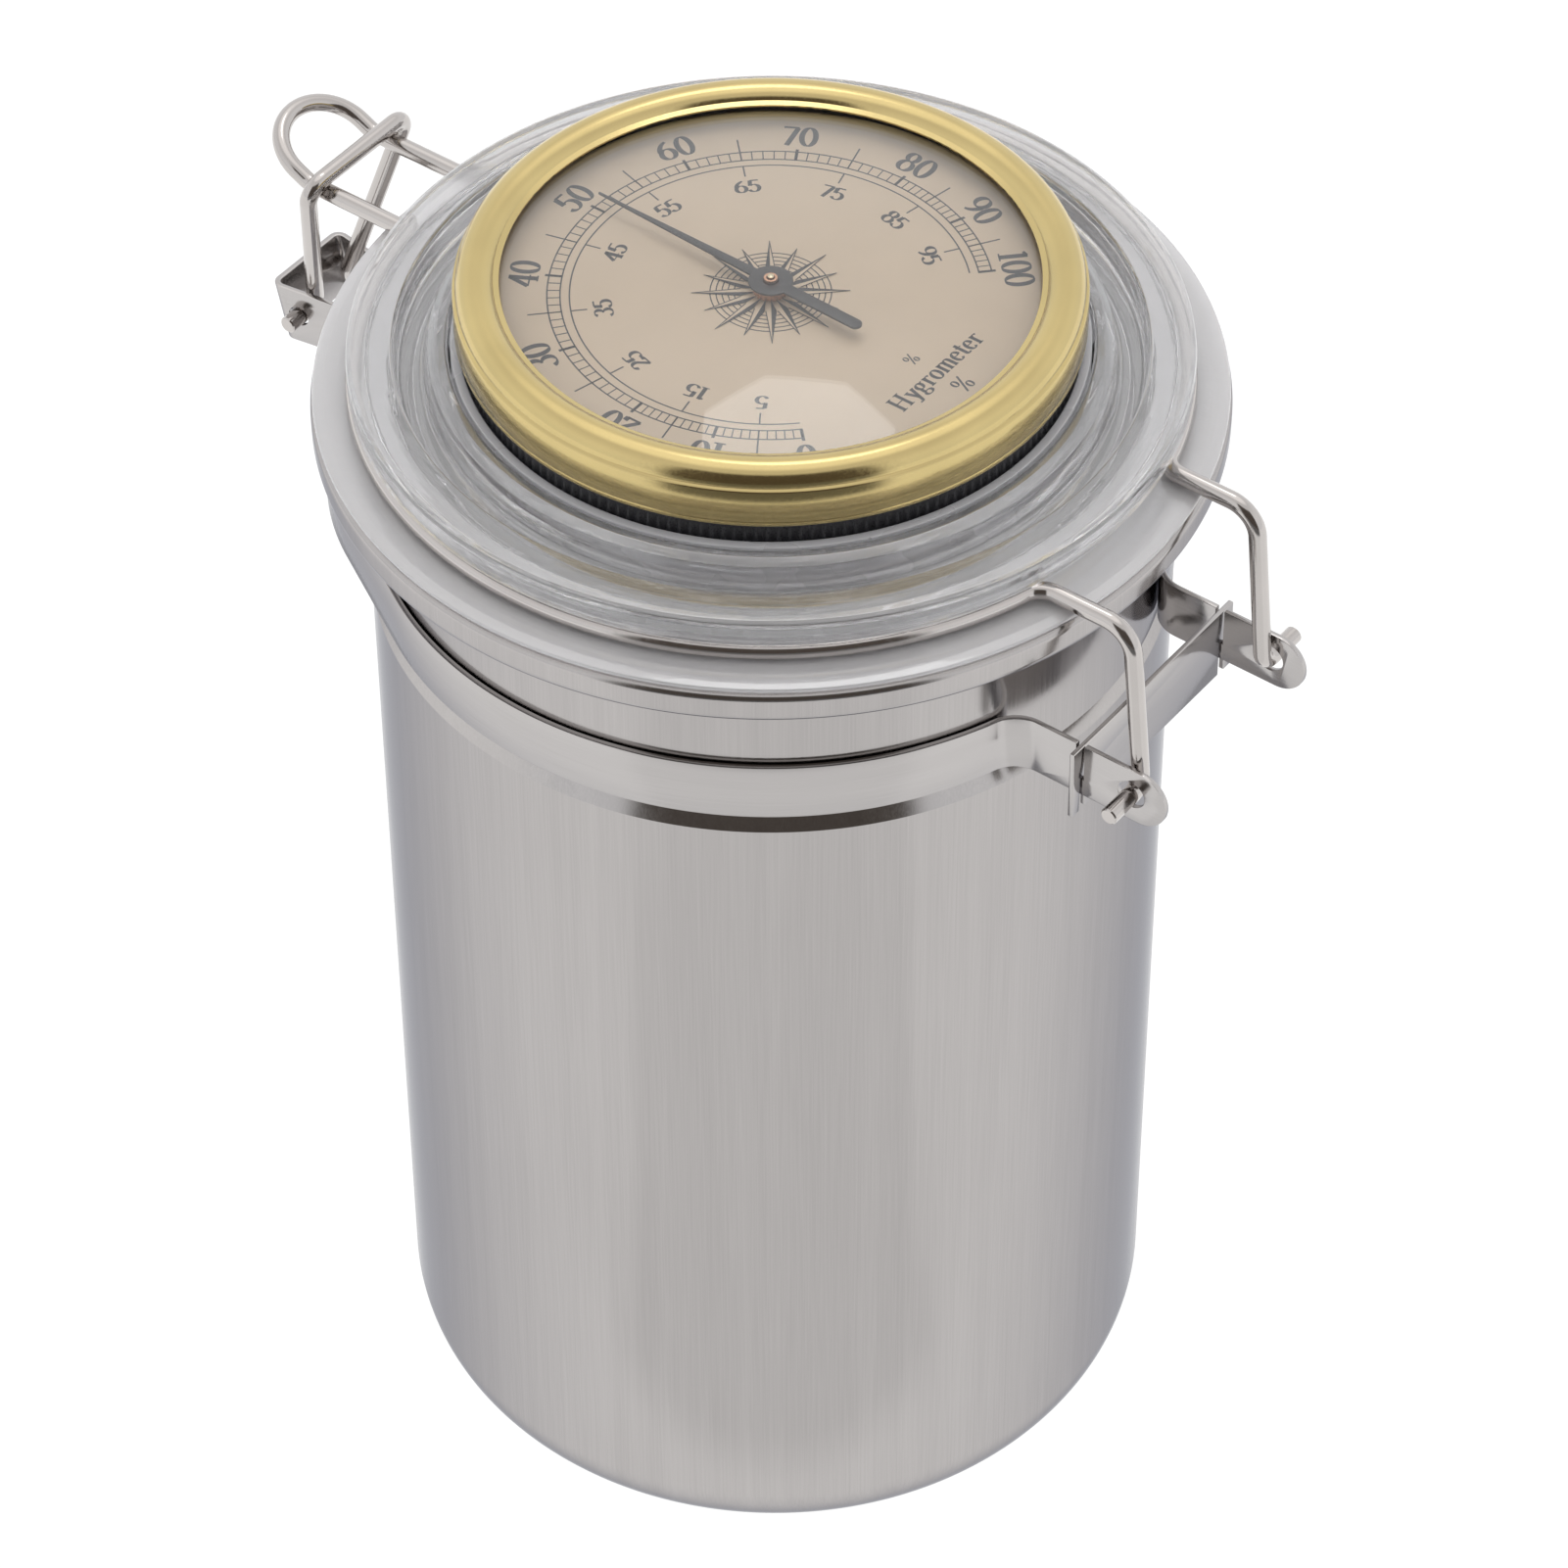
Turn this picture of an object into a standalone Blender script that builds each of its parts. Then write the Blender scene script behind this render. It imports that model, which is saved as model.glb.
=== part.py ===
"""A brushed-steel canister with a clear clamp lid and a dial hygrometer set into the lid.

Frame: the origin is the centre of the canister's flat base, +Z is up, -Y points to the latch and
+Y to the hinge. Every dimension below is in millimetres; objects are made in metres.
"""

import math

import bmesh
import bpy
from mathutils import Matrix, Vector

MM = 0.001
MERGE = 0.00001

# Facets of a full turn, for large and for small turned pieces
TURN_STEPS = 40
SMALL_STEPS = 16

# Canister: its wall widens slightly upwards to a chamfered shoulder, where the neck is narrower
FOOT_R = 55.15
BODY_R = 55.5
NECK_R = 54.6
SHOULDER_Z = (149.4, 151.4)
WALL = 0.8
FOOT_ARC = 12.0
FLARE_Z = 169.5
FLARE_ARC = 6.0
RIM_R = 62.45
RIM_TOP = 180.5
BEAD_ARC = 2.35

# Neck strap: a strip round the neck, with hinge ears at one end and a latch bracket at the other
STRAP_Z = (152.6, 161.2)
STRAP_T = 0.8
STRAP_R = 55.4
EAR_X = 16.4
EAR_END = 77.0
EAR_BEND = 5.0
EAR_SLOT_DEPTH = 6.0
STANDOFF_ANGLE = -30.0
STANDOFF_RUN = 19.0
BRACKET_Y = -82.3
BRACKET_HALF = 7.2
BRACKET_ROOT_HALF = 4.6
BRACKET_LEAN = 2.0
BRACKET_LEAN_REACH = 12.0
BRACKET_ROOT_BEND = 1.4
BRACKET_CORNER_BEND = 1.2
TIE_Y = 63.3
TIE_Z = (149.7, 161.0)
TIE_HALF = 18.7
TIE_T = 0.8
LAP_GAP = 0.25

# Hinge and latch axes, both along X: (y, z)
HINGE = (71.5, 157.0)
LATCH = (-79.0, 157.0)
EAR_HOLE_R = 2.1
LATCH_HOLE_R = 1.55

# Wires
WIRE_R = 1.25
ARM_BENDS = (2.2, 4.5)
ARM_ROOT_BEND = 3.5
LEG_ROOT_BEND = 3.0
KINK_BEND = 4.0
BAIL_BENDS = (1.9, 2.6)
RING_R = 56.2
RING_Z = 183.1
ARM_X = 14.4
ARM_BEND_Y = 69.0
PIN_TIP = 22.0
LOOP_HALF = 7.0
KINK_Y = -75.0
LOOP_TILT = 27.0
LOOP_RUN = 2.8
BAIL_TOP = (11.0, -72.0, 185.8)
BAIL_FOOT = 3.2
BAIL_PIN_TIP = 9.6

# Lid
LID_TOP = 188.4
LID_RING_R = 57.2
LID_HOLE_R = 43.4
PLUG_R = 51.5
GASKET_Z = (180.75, 181.65)
GASKET_R = 62.0
SKIRT_R = (51.8, 53.2)
SKIRT_FOOT = 176.5

# Hygrometer
CASE_R = 41.5
CASE_Z = (174.4, 194.9)
DIAL_Z = (195.1, 195.6)
DIAL_R = 41.2
GLASS_R = 41.0
GLASS_EDGE_Z = (196.55, 197.45)
GLASS_TOP = 202.6
BEZEL_R = 42.5
BEZEL_SKIRT_Z = (192.0, 197.7)
BEZEL_RING = (39.35, 197.85)
BEZEL_RING_ARC = 2.8
BEZEL_INNER_R = 36.2

# Needle: 50 % of the scale is at -Y, and values run clockwise seen from above. The scale spends 3
# degrees on each per cent from 20 to 80, and 2.25 degrees outside, so 0 to 100 % takes 270 degrees.
READING = 50.63
DEGREES_PER_PERCENT = 3.0
NEEDLE_Z = 197.5
NEEDLE_T = 0.35
NEEDLE_TIP = 29.7
NEEDLE_TAIL = 15.2
NEEDLE_BOSS_R = 3.0
COLLET_R = 0.95
ARBOR_R = 0.45
COIL_Z = (188.2, 191.2)

# Movement
BRIDGE_Z = (184.2, 185.1)
PILLAR_X = 16.0
COVER_SCREW_R = 37.4
COVER_Z = (174.7, 175.75)
VENT_R = (12.0, 31.0)
VENT_HALF = 1.8
ARM_Z = (182.95, 183.9)
ARM_REACH = 13.2
COIL_R = (2.1, 11.7)
COIL_TURNS = 4
COIL_T = 0.35

# Joint axes: a point on the calibrator's and on the needle's axis, both vertical
CALIBRATOR_AT = (0.0, 0.0, 183.0)
NEEDLE_AT = (0.0, 0.0, 190.0)


def clear_scene():
    for obj in list(bpy.data.objects):
        bpy.data.objects.remove(obj, do_unlink=True)


def new_collection(name):
    made = bpy.data.collections.new(name)
    bpy.context.scene.collection.children.link(made)
    return made


def material(name, colour, metallic=0.0, roughness=0.4, transmission=0.0):
    made = bpy.data.materials.new(name)
    made.use_nodes = True
    made.diffuse_color = (*colour, 1.0)
    shader = made.node_tree.nodes["Principled BSDF"]
    shader.inputs["Base Color"].default_value = (*colour, 1.0)
    shader.inputs["Metallic"].default_value = metallic
    shader.inputs["Roughness"].default_value = roughness
    shader.inputs["Transmission Weight"].default_value = transmission
    return made


clear_scene()
PARTS = new_collection("hygrometer_canister")
CUTTERS = new_collection("cutters")
CUTTERS.hide_render = True

STEEL = material("brushed_steel", (0.62, 0.61, 0.60), 1.0, 0.35)
WIRE = material("wire_steel", (0.66, 0.64, 0.62), 1.0, 0.2)
ACRYLIC = material("clear_acrylic", (0.93, 0.95, 0.97), 0.0, 0.05, 0.9)
SILICONE = material("clear_silicone", (0.86, 0.87, 0.88), 0.0, 0.3, 0.5)
BRASS = material("polished_brass", (0.83, 0.68, 0.34), 1.0, 0.18)
GLASS = material("glass", (0.96, 0.97, 0.97), 0.0, 0.03, 1.0)
RUBBER = material("black_rubber", (0.03, 0.03, 0.03), 0.0, 0.7)
BLACK = material("black_plastic", (0.04, 0.04, 0.045), 0.0, 0.45)
BEIGE = material("dial_paint", (0.55, 0.46, 0.37), 0.0, 0.5)
DARK = material("needle_paint", (0.06, 0.06, 0.065), 0.0, 0.4)
COPPER = material("copper", (0.72, 0.42, 0.28), 1.0, 0.3)
MOVEMENT = material("movement_metal", (0.70, 0.66, 0.55), 1.0, 0.35)


def metres(points):
    return [Vector(point) * MM for point in points]


def placed(obj, surface):
    """Links a finished piece and gives it its material and smooth shading."""
    PARTS.objects.link(obj)
    obj.data.materials.append(surface)
    if obj.type == "MESH":
        obj.data.shade_smooth()
        obj.data.set_sharp_from_angle(angle=math.radians(35))
    return obj


def arc(centre, radius, start, end, steps):
    """Points on an arc from start to end, in degrees, both ends included."""
    angles = [math.radians(start + (end - start) * i / steps) for i in range(steps + 1)]
    return [(centre[0] + radius * math.cos(a), centre[1] + radius * math.sin(a)) for a in angles]


def turned(name, profile, surface, steps=TURN_STEPS, at=(0.0, 0.0)):
    """A turned piece about a vertical axis. The profile holds (radius, z) points and runs down its
    outer side. One that starts and ends on the axis stays open, and any other is closed."""
    closed = profile[0][0] > 0 or profile[-1][0] > 0
    mesh = bpy.data.meshes.new(name)
    points = metres([(radius, 0.0, z) for radius, z in profile])
    edges = [(i, i + 1) for i in range(len(points) - 1)]
    if closed:
        edges.append((len(points) - 1, 0))
    mesh.from_pydata(points, edges, [])
    obj = bpy.data.objects.new(name, mesh)
    obj.location = (at[0] * MM, at[1] * MM, 0.0)
    screw = obj.modifiers.new("turn", "SCREW")
    screw.axis = "Z"
    screw.angle = math.tau
    screw.steps = steps
    screw.render_steps = steps
    screw.use_merge_vertices = True
    screw.merge_threshold = MERGE
    screw.use_smooth_shade = True
    PARTS.objects.link(obj)
    mesh.materials.append(surface)
    return obj


def block(name, low, high):
    """A box between two corners, as a plain object."""
    mesh = bpy.data.meshes.new(name)
    shape = bmesh.new()
    bmesh.ops.create_cube(shape, size=1.0)
    size = [(b - a) * MM for a, b in zip(low, high)]
    middle = [(a + b) * MM / 2 for a, b in zip(low, high)]
    bmesh.ops.transform(shape, matrix=Matrix.Diagonal((*size, 1.0)), verts=shape.verts)
    bmesh.ops.transform(shape, matrix=Matrix.Translation(middle), verts=shape.verts)
    shape.to_mesh(mesh)
    shape.free()
    return bpy.data.objects.new(name, mesh)


def rod(name, centre, radius, length, along="Z", sides=16):
    """A plain cylinder about its centre, along X or Z."""
    mesh = bpy.data.meshes.new(name)
    shape = bmesh.new()
    bmesh.ops.create_cone(
        shape, cap_ends=True, segments=sides, radius1=radius * MM, radius2=radius * MM, depth=length * MM
    )
    if along == "X":
        turn = Matrix.Rotation(math.radians(90), 4, "Y")
        bmesh.ops.transform(shape, matrix=turn, verts=shape.verts)
    bmesh.ops.transform(shape, matrix=Matrix.Translation(Vector(centre) * MM), verts=shape.verts)
    shape.to_mesh(mesh)
    shape.free()
    return bpy.data.objects.new(name, mesh)


def as_cutter(obj):
    CUTTERS.objects.link(obj)
    obj.hide_render = True
    obj.display_type = "WIRE"
    return obj


def boolean(obj, other, operation="DIFFERENCE"):
    if other.name not in CUTTERS.objects:
        as_cutter(other)
    modifier = obj.modifiers.new(other.name, "BOOLEAN")
    modifier.operation = operation
    modifier.solver = "EXACT"
    modifier.object = other


def as_mesh(obj):
    """The evaluated shape of a curve as a new mesh object with its caps welded."""
    CUTTERS.objects.link(obj)
    bpy.context.view_layer.update()
    graph = bpy.context.evaluated_depsgraph_get()
    mesh = bpy.data.meshes.new_from_object(obj.evaluated_get(graph))
    shape = bmesh.new()
    shape.from_mesh(mesh)
    bmesh.ops.remove_doubles(shape, verts=shape.verts, dist=MERGE)
    bmesh.ops.recalc_face_normals(shape, faces=shape.faces)
    shape.to_mesh(mesh)
    shape.free()
    made = bpy.data.objects.new(obj.name + "_mesh", mesh)
    made.matrix_world = obj.matrix_world
    name = obj.name
    curve = obj.data
    bpy.data.objects.remove(obj, do_unlink=True)
    bpy.data.curves.remove(curve)
    made.name = name
    mesh.name = name
    return made


def poly_curve(name, loops, cyclic, flat):
    """A curve object with one POLY spline for each list of points."""
    curve = bpy.data.curves.new(name, "CURVE")
    curve.dimensions = "2D" if flat else "3D"
    for points in loops:
        spline = curve.splines.new("POLY")
        spline.points.add(len(points) - 1)
        for slot, point in zip(spline.points, metres(points)):
            slot.co = (*point, 1.0)
        spline.use_cyclic_u = cyclic
    return bpy.data.objects.new(name, curve)


def plate(name, loops, z_range):
    """A flat plate from closed outlines, the first outside and the rest holes."""
    flat_loops = [[(x, y, 0.0) for x, y in loop] for loop in loops]
    obj = poly_curve(name, flat_loops, True, True)
    obj.data.fill_mode = "BOTH"
    obj.data.extrude = (z_range[1] - z_range[0]) * MM / 2
    obj.location.z = (z_range[0] + z_range[1]) * MM / 2
    return as_mesh(obj)


def wire(name, points, surface):
    """A round wire along the points."""
    obj = poly_curve(name, [points], False, False)
    obj.data.bevel_depth = WIRE_R * MM
    obj.data.bevel_resolution = 2
    obj.data.use_fill_caps = True
    return placed(as_mesh(obj), surface)


def rounded(corners, bends, steps=5):
    """The polyline through the corners, with each inner corner turned into an arc of its bend."""
    path = [Vector(corners[0])]
    for before, corner, after, bend in zip(corners, corners[1:], corners[2:], bends):
        corner = Vector(corner)
        inward = (Vector(before) - corner).normalized()
        outward = (Vector(after) - corner).normalized()
        half = inward.angle(outward) / 2
        middle = (inward + outward).normalized()
        centre = corner + middle * bend / math.sin(half)
        first = corner + inward * bend / math.tan(half) - centre
        last = corner + outward * bend / math.tan(half) - centre
        turn = first.angle(last)
        for i in range(steps + 1):
            near = math.sin(turn * (1 - i / steps)) / math.sin(turn)
            far = math.sin(turn * i / steps) / math.sin(turn)
            path.append(centre + first * near + last * far)
    path.append(Vector(corners[-1]))
    return [tuple(point) for point in path]


def leave_circle(radius, x, bend):
    """The arc by which a strip on a circle about the origin turns out onto the line at x, away from
    the circle. Gives the angle where it leaves the circle and the arc's points, for +X and +Y."""
    centre = (x + bend, math.sqrt((radius + bend) ** 2 - (x + bend) ** 2))
    angle = math.degrees(math.atan2(centre[1], centre[0]))
    return angle, arc(centre, bend, 180.0 + angle, 180.0, 4)


def mirrored(points):
    """The points with X reversed, in reverse order."""
    return [(-point[0], *point[1:]) for point in reversed(points)]


def make_jar_body():
    bead = (RIM_R - BEAD_ARC, RIM_TOP - BEAD_ARC)
    flare = (NECK_R + FLARE_ARC, FLARE_Z)
    foot = (FOOT_R - FOOT_ARC, FOOT_ARC)
    low, high = SHOULDER_Z
    profile = [(0.0, WALL)]
    profile += arc(foot, FOOT_ARC - WALL, -90, 0, 4)
    profile += [(BODY_R - WALL, low), (NECK_R - WALL, high)]
    profile += arc(flare, FLARE_ARC + WALL, 180, 122, 3)
    profile += arc(bead, BEAD_ARC, 180, -80, 8)
    profile += arc(flare, FLARE_ARC, 105, 180, 4)
    profile += [(NECK_R, high), (BODY_R, low)]
    profile += arc(foot, FOOT_ARC, 0, -90, 5)
    profile += [(0.0, 0.0)]
    turned("jar_body", profile, STEEL)


def strap_path():
    """The strip's centre line seen from above, from one ear's end round to the other."""
    leaves, ear_arc = leave_circle(STRAP_R, EAR_X, EAR_BEND)
    ear = [(EAR_X, EAR_END)]
    ear += [(x, y) for x, y in reversed(ear_arc)]
    neck = arc((0.0, 0.0), STRAP_R, leaves - 5.0, STANDOFF_ANGLE, 17)
    angle = math.radians(STANDOFF_ANGLE)
    start_x = STRAP_R * math.cos(angle) + STANDOFF_RUN * math.sin(angle)
    start_y = STRAP_R * math.sin(angle) - STANDOFF_RUN * math.cos(angle)
    front_r = start_x / math.cos(angle)
    front_y = start_y - front_r * math.sin(angle)
    root = math.degrees(math.asin((BRACKET_ROOT_HALF + 1.5) / front_r)) - 90.0
    front = arc((0.0, front_y), front_r, STANDOFF_ANGLE, root, 10)
    root_y = front_y - front_r * math.cos(math.asin(BRACKET_ROOT_HALF / front_r))
    corners = [(*front[-2], 0.0), (BRACKET_ROOT_HALF, root_y, 0.0), (BRACKET_HALF, BRACKET_Y, 0.0)]
    corners.append((0.0, BRACKET_Y, 0.0))
    bump = [(x, y) for x, y, _ in rounded(corners, (BRACKET_ROOT_BEND, BRACKET_CORNER_BEND), 3)]
    half = ear + neck + front[:-1] + bump[1:-1]
    return half + mirrored(half)


def make_neck_strap():
    middle_z = sum(STRAP_Z) / 2
    obj = poly_curve("neck_strap", [[(x, y, 0.0) for x, y in strap_path()]], False, True)
    obj.data.extrude = (STRAP_Z[1] - STRAP_Z[0]) * MM / 2
    strap = as_mesh(obj)
    for vertex in strap.data.vertices:
        outward = (BRACKET_Y + BRACKET_LEAN_REACH - vertex.co.y / MM) / BRACKET_LEAN_REACH
        share = (STRAP_Z[1] - middle_z - vertex.co.z / MM) / (STRAP_Z[1] - STRAP_Z[0])
        vertex.co.y += BRACKET_LEAN * min(1.0, max(0.0, outward)) * share * MM
        vertex.co.z += middle_z * MM
    solidify = strap.modifiers.new("thickness", "SOLIDIFY")
    solidify.thickness = STRAP_T * MM
    solidify.offset = 0.0
    solidify.use_even_offset = True
    placed(strap, STEEL)
    boolean(strap, rod("ear_holes", (0.0, *HINGE), EAR_HOLE_R, 60.0, "X"))
    boolean(strap, rod("latch_holes", (0.0, *LATCH), LATCH_HOLE_R, 30.0, "X"))
    end_arc = (STRAP_Z[1] - STRAP_Z[0]) / 2
    corner = block("ear_end_cutter", (-30.0, EAR_END - end_arc, 140.0), (30.0, EAR_END + 5.0, 175.0))
    boolean(corner, rod("ear_end_round", (0.0, EAR_END - end_arc, middle_z), end_arc, 80.0, "X", 24))
    boolean(strap, corner)
    slot_half = TIE_T / 2 + LAP_GAP
    slot_low = (-30.0, TIE_Y - slot_half, STRAP_Z[1] - EAR_SLOT_DEPTH)
    slot_high = (30.0, TIE_Y + slot_half, STRAP_Z[1] + 5.0)
    boolean(strap, block("ear_slots", slot_low, slot_high))


def make_tie_plate():
    low = (-TIE_HALF, TIE_Y - TIE_T / 2, TIE_Z[0])
    high = (TIE_HALF, TIE_Y + TIE_T / 2, TIE_Z[1])
    tie = placed(block("tie_plate", low, high), STEEL)
    slot_half = STRAP_T / 2 + LAP_GAP
    slot_top = STRAP_Z[1] - EAR_SLOT_DEPTH + LAP_GAP
    for side in (-1, 1):
        middle = side * EAR_X
        slot_low = (middle - slot_half, TIE_Y - 2.0, TIE_Z[0] - 2.0)
        slot_high = (middle + slot_half, TIE_Y + 2.0, slot_top)
        boolean(tie, block(f"tie_slot_{side}", slot_low, slot_high))


def make_lid_wire():
    leaves, arm_arc = leave_circle(RING_R, ARM_X, ARM_ROOT_BEND)
    loop_leaves, leg_arc = leave_circle(RING_R, LOOP_HALF, LEG_ROOT_BEND)
    arm_corners = [(PIN_TIP, *HINGE), (ARM_X, *HINGE), (ARM_X, ARM_BEND_Y, RING_Z)]
    arm_corners.append((ARM_X, RING_R + ARM_ROOT_BEND, RING_Z))
    half = rounded(arm_corners, ARM_BENDS)[:-1]
    half += [(x, y, RING_Z) for x, y in reversed(arm_arc)]
    half += [(x, y, RING_Z) for x, y in arc((0.0, 0.0), RING_R, leaves - 6.0, 6.0 - loop_leaves, 20)]
    half += [(x, -y, RING_Z) for x, y in leg_arc]
    kink = [(LOOP_HALF, -RING_R, RING_Z), (LOOP_HALF, KINK_Y, RING_Z), loop_point(LOOP_HALF, LOOP_RUN)]
    half += rounded(kink, (KINK_BEND,), 3)[1:-1]
    half += [loop_point(x, LOOP_RUN + y) for x, y in arc((0.0, 0.0), LOOP_HALF, 0, 80, 5)]
    wire("lid_wire", half + mirrored(half), WIRE)


def loop_point(x, along):
    """A point of the thumb loop, at a distance along its tilted plane from the kink."""
    tilt = math.radians(LOOP_TILT)
    return (x, KINK_Y - along * math.cos(tilt), RING_Z + along * math.sin(tilt))


def make_bail_wire():
    corners = [(BAIL_PIN_TIP, *LATCH), (BAIL_FOOT, *LATCH), BAIL_TOP, (0.0, *BAIL_TOP[1:])]
    half = rounded(corners, BAIL_BENDS)[:-1]
    wire("bail_wire", half + mirrored(half), WIRE)


def make_lid_shell():
    collar = [(LID_HOLE_R, 188.6), (43.8, 189.0), (45.0, 189.0), (46.2, 188.2)]
    trough = [(46.8, 184.8), (47.4, 184.4), (49.8, 184.4), (50.3, 184.8), (50.8, 188.0)]
    ring = [(51.2, LID_TOP), (56.4, LID_TOP), (57.0, 188.1), (LID_RING_R, 187.5)]
    groove = [(LID_RING_R, 184.55), (54.5, 184.55), (54.5, 181.9)]
    plug = [(PLUG_R, 181.9), (PLUG_R, 175.4), (51.1, 175.0), (49.2, 175.0), (48.9, 175.3)]
    underside = [(48.9, 180.0), (48.3, 181.0), (46.0, 181.0), (45.6, 180.6), (45.6, 178.0)]
    hole = [(LID_HOLE_R, 178.0)]
    turned("lid_shell", collar + trough + ring + groove + plug + underside + hole, ACRYLIC)


def make_lid_gasket():
    lip = [(SKIRT_R[0], GASKET_Z[1]), (GASKET_R, GASKET_Z[1]), (GASKET_R, GASKET_Z[0])]
    skirt = [(SKIRT_R[1], GASKET_Z[0]), (SKIRT_R[1], SKIRT_FOOT), (SKIRT_R[0], SKIRT_FOOT)]
    turned("lid_gasket", lip + skirt, SILICONE)


def make_bezel():
    lip = [(BEZEL_INNER_R, 198.85), (BEZEL_INNER_R, 199.1)]
    crest = arc(BEZEL_RING, BEZEL_RING_ARC, 148, 8, 7)
    skirt_top = BEZEL_SKIRT_Z[1]
    skirt_foot = BEZEL_SKIRT_Z[0]
    skirt = [(41.95, 198.05), (BEZEL_R, skirt_top - 0.1), (BEZEL_R, skirt_foot + 0.3)]
    foot = [(BEZEL_R - 0.15, skirt_foot), (41.9, skirt_foot)]
    inside = [(41.9, 197.2)]
    under = arc(BEZEL_RING, BEZEL_RING_ARC - 0.5, 8, 148, 6)
    turned("bezel", lip + crest + skirt + foot + inside + under, BRASS)


def dome(top_z, edge_z, reach, steps):
    """Points of a shallow dome from the axis out to its edge."""
    rise = top_z - edge_z
    sphere_r = (reach**2 + rise**2) / (2 * rise)
    radii = [reach * i / steps for i in range(steps + 1)]
    return [(r, top_z - sphere_r + math.sqrt(sphere_r**2 - r**2)) for r in radii]


def make_crystal():
    thickness = GLASS_EDGE_Z[1] - GLASS_EDGE_Z[0]
    outside = dome(GLASS_TOP, GLASS_EDGE_Z[1], GLASS_R, 6)
    inside = dome(GLASS_TOP - thickness, GLASS_EDGE_Z[0], GLASS_R, 6)
    turned("crystal", outside + list(reversed(inside)), GLASS)


def make_instrument_shells():
    turned("crystal_seal", arc((39.7, 198.75), 0.6, 90, -210, 5), RUBBER)
    ring_z = (195.75, 196.4)
    spacer = [(38.4, ring_z[1]), (DIAL_R, ring_z[1]), (DIAL_R, ring_z[0]), (38.4, ring_z[0])]
    turned("spacer_ring", spacer, BLACK)
    dial = [(1.7, DIAL_Z[1]), (DIAL_R, DIAL_Z[1]), (DIAL_R, DIAL_Z[0]), (1.7, DIAL_Z[0])]
    turned("dial_plate", dial, BEIGE)
    sleeve = [(41.8, 188.2), (43.1, 188.2), (43.1, 178.4), (41.8, 178.4)]
    turned("mounting_sleeve", sleeve, RUBBER)
    barrel = [(39.6, CASE_Z[1]), (CASE_R, CASE_Z[1]), (CASE_R, CASE_Z[0]), (39.7, CASE_Z[0])]
    ledge = [(39.7, 176.0), (35.5, 176.0), (35.5, 177.6), (39.6, 177.6)]
    case = turned("instrument_case", barrel + ledge, BLACK)
    cover_profile = [(5.5, COVER_Z[1]), (39.35, COVER_Z[1]), (39.35, COVER_Z[0]), (5.5, COVER_Z[0])]
    cover = turned("rear_cover", cover_profile, BLACK)
    for i in range(6):
        slot = block(f"vent_{i}", (VENT_R[0], -VENT_HALF, 170.0), (VENT_R[1], VENT_HALF, 180.0))
        slot.rotation_euler.z = math.radians(60 * i)
        boolean(cover, slot)
    for i in range(3):
        angle = math.radians(30 + 120 * i)
        at = (COVER_SCREW_R * math.cos(angle), COVER_SCREW_R * math.sin(angle))
        hole = rod(f"cover_hole_{i}", (*at, 175.5), 1.05, 6.0, sides=12)
        boolean(cover, hole)
        boolean(case, hole)
        shank = [(0.0, 177.3), (0.8, 177.3), (0.8, 174.55), (1.8, 174.55), (1.8, 173.9), (0.0, 173.9)]
        turned(f"cover_screw_{i + 1}", shank, MOVEMENT, 12, at)


def make_movement():
    bush = [(0.65, 196.8), (2.2, 196.8), (2.4, 196.5), (2.4, 195.8), (1.5, 195.8), (1.5, 193.8)]
    bush.append((0.65, 193.8))
    turned("upper_bush", bush, COPPER, SMALL_STEPS)
    bearing = [(0.0, 183.6), (0.65, 183.6), (0.65, 186.0), (3.2, 186.0), (3.2, 185.35), (2.0, 185.35)]
    bearing += [(2.0, 182.9), (0.0, 182.9)]
    turned("lower_bearing", bearing, MOVEMENT, SMALL_STEPS)
    ends = arc((PILLAR_X, 0.0), 4.0, -90, 90, 6)
    outline = ends + [(-x, y) for x, y in reversed(ends)]
    holes = [arc((0.0, 0.0), 2.25, 0, 337.5, 15)]
    holes += [arc((side * PILLAR_X, 0.0), 1.0, 0, 330, 11) for side in (-1, 1)]
    placed(plate("movement_bridge", [outline] + holes, BRIDGE_Z), MOVEMENT)
    for i, side in enumerate((-1, 1)):
        at = (side * PILLAR_X, 0.0)
        pillar = [(0.0, 194.9), (1.7, 194.9), (1.7, 185.3), (0.95, 185.3), (0.95, 189.0), (0.0, 189.0)]
        turned(f"bridge_pillar_{i + 1}", pillar, MOVEMENT, 12, at)
        screw = [(0.0, 188.5), (0.75, 188.5), (0.75, 184.0), (1.8, 184.0), (1.8, 183.2), (0.0, 183.2)]
        turned(f"bridge_screw_{i + 1}", screw, STEEL, 12, at)


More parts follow.
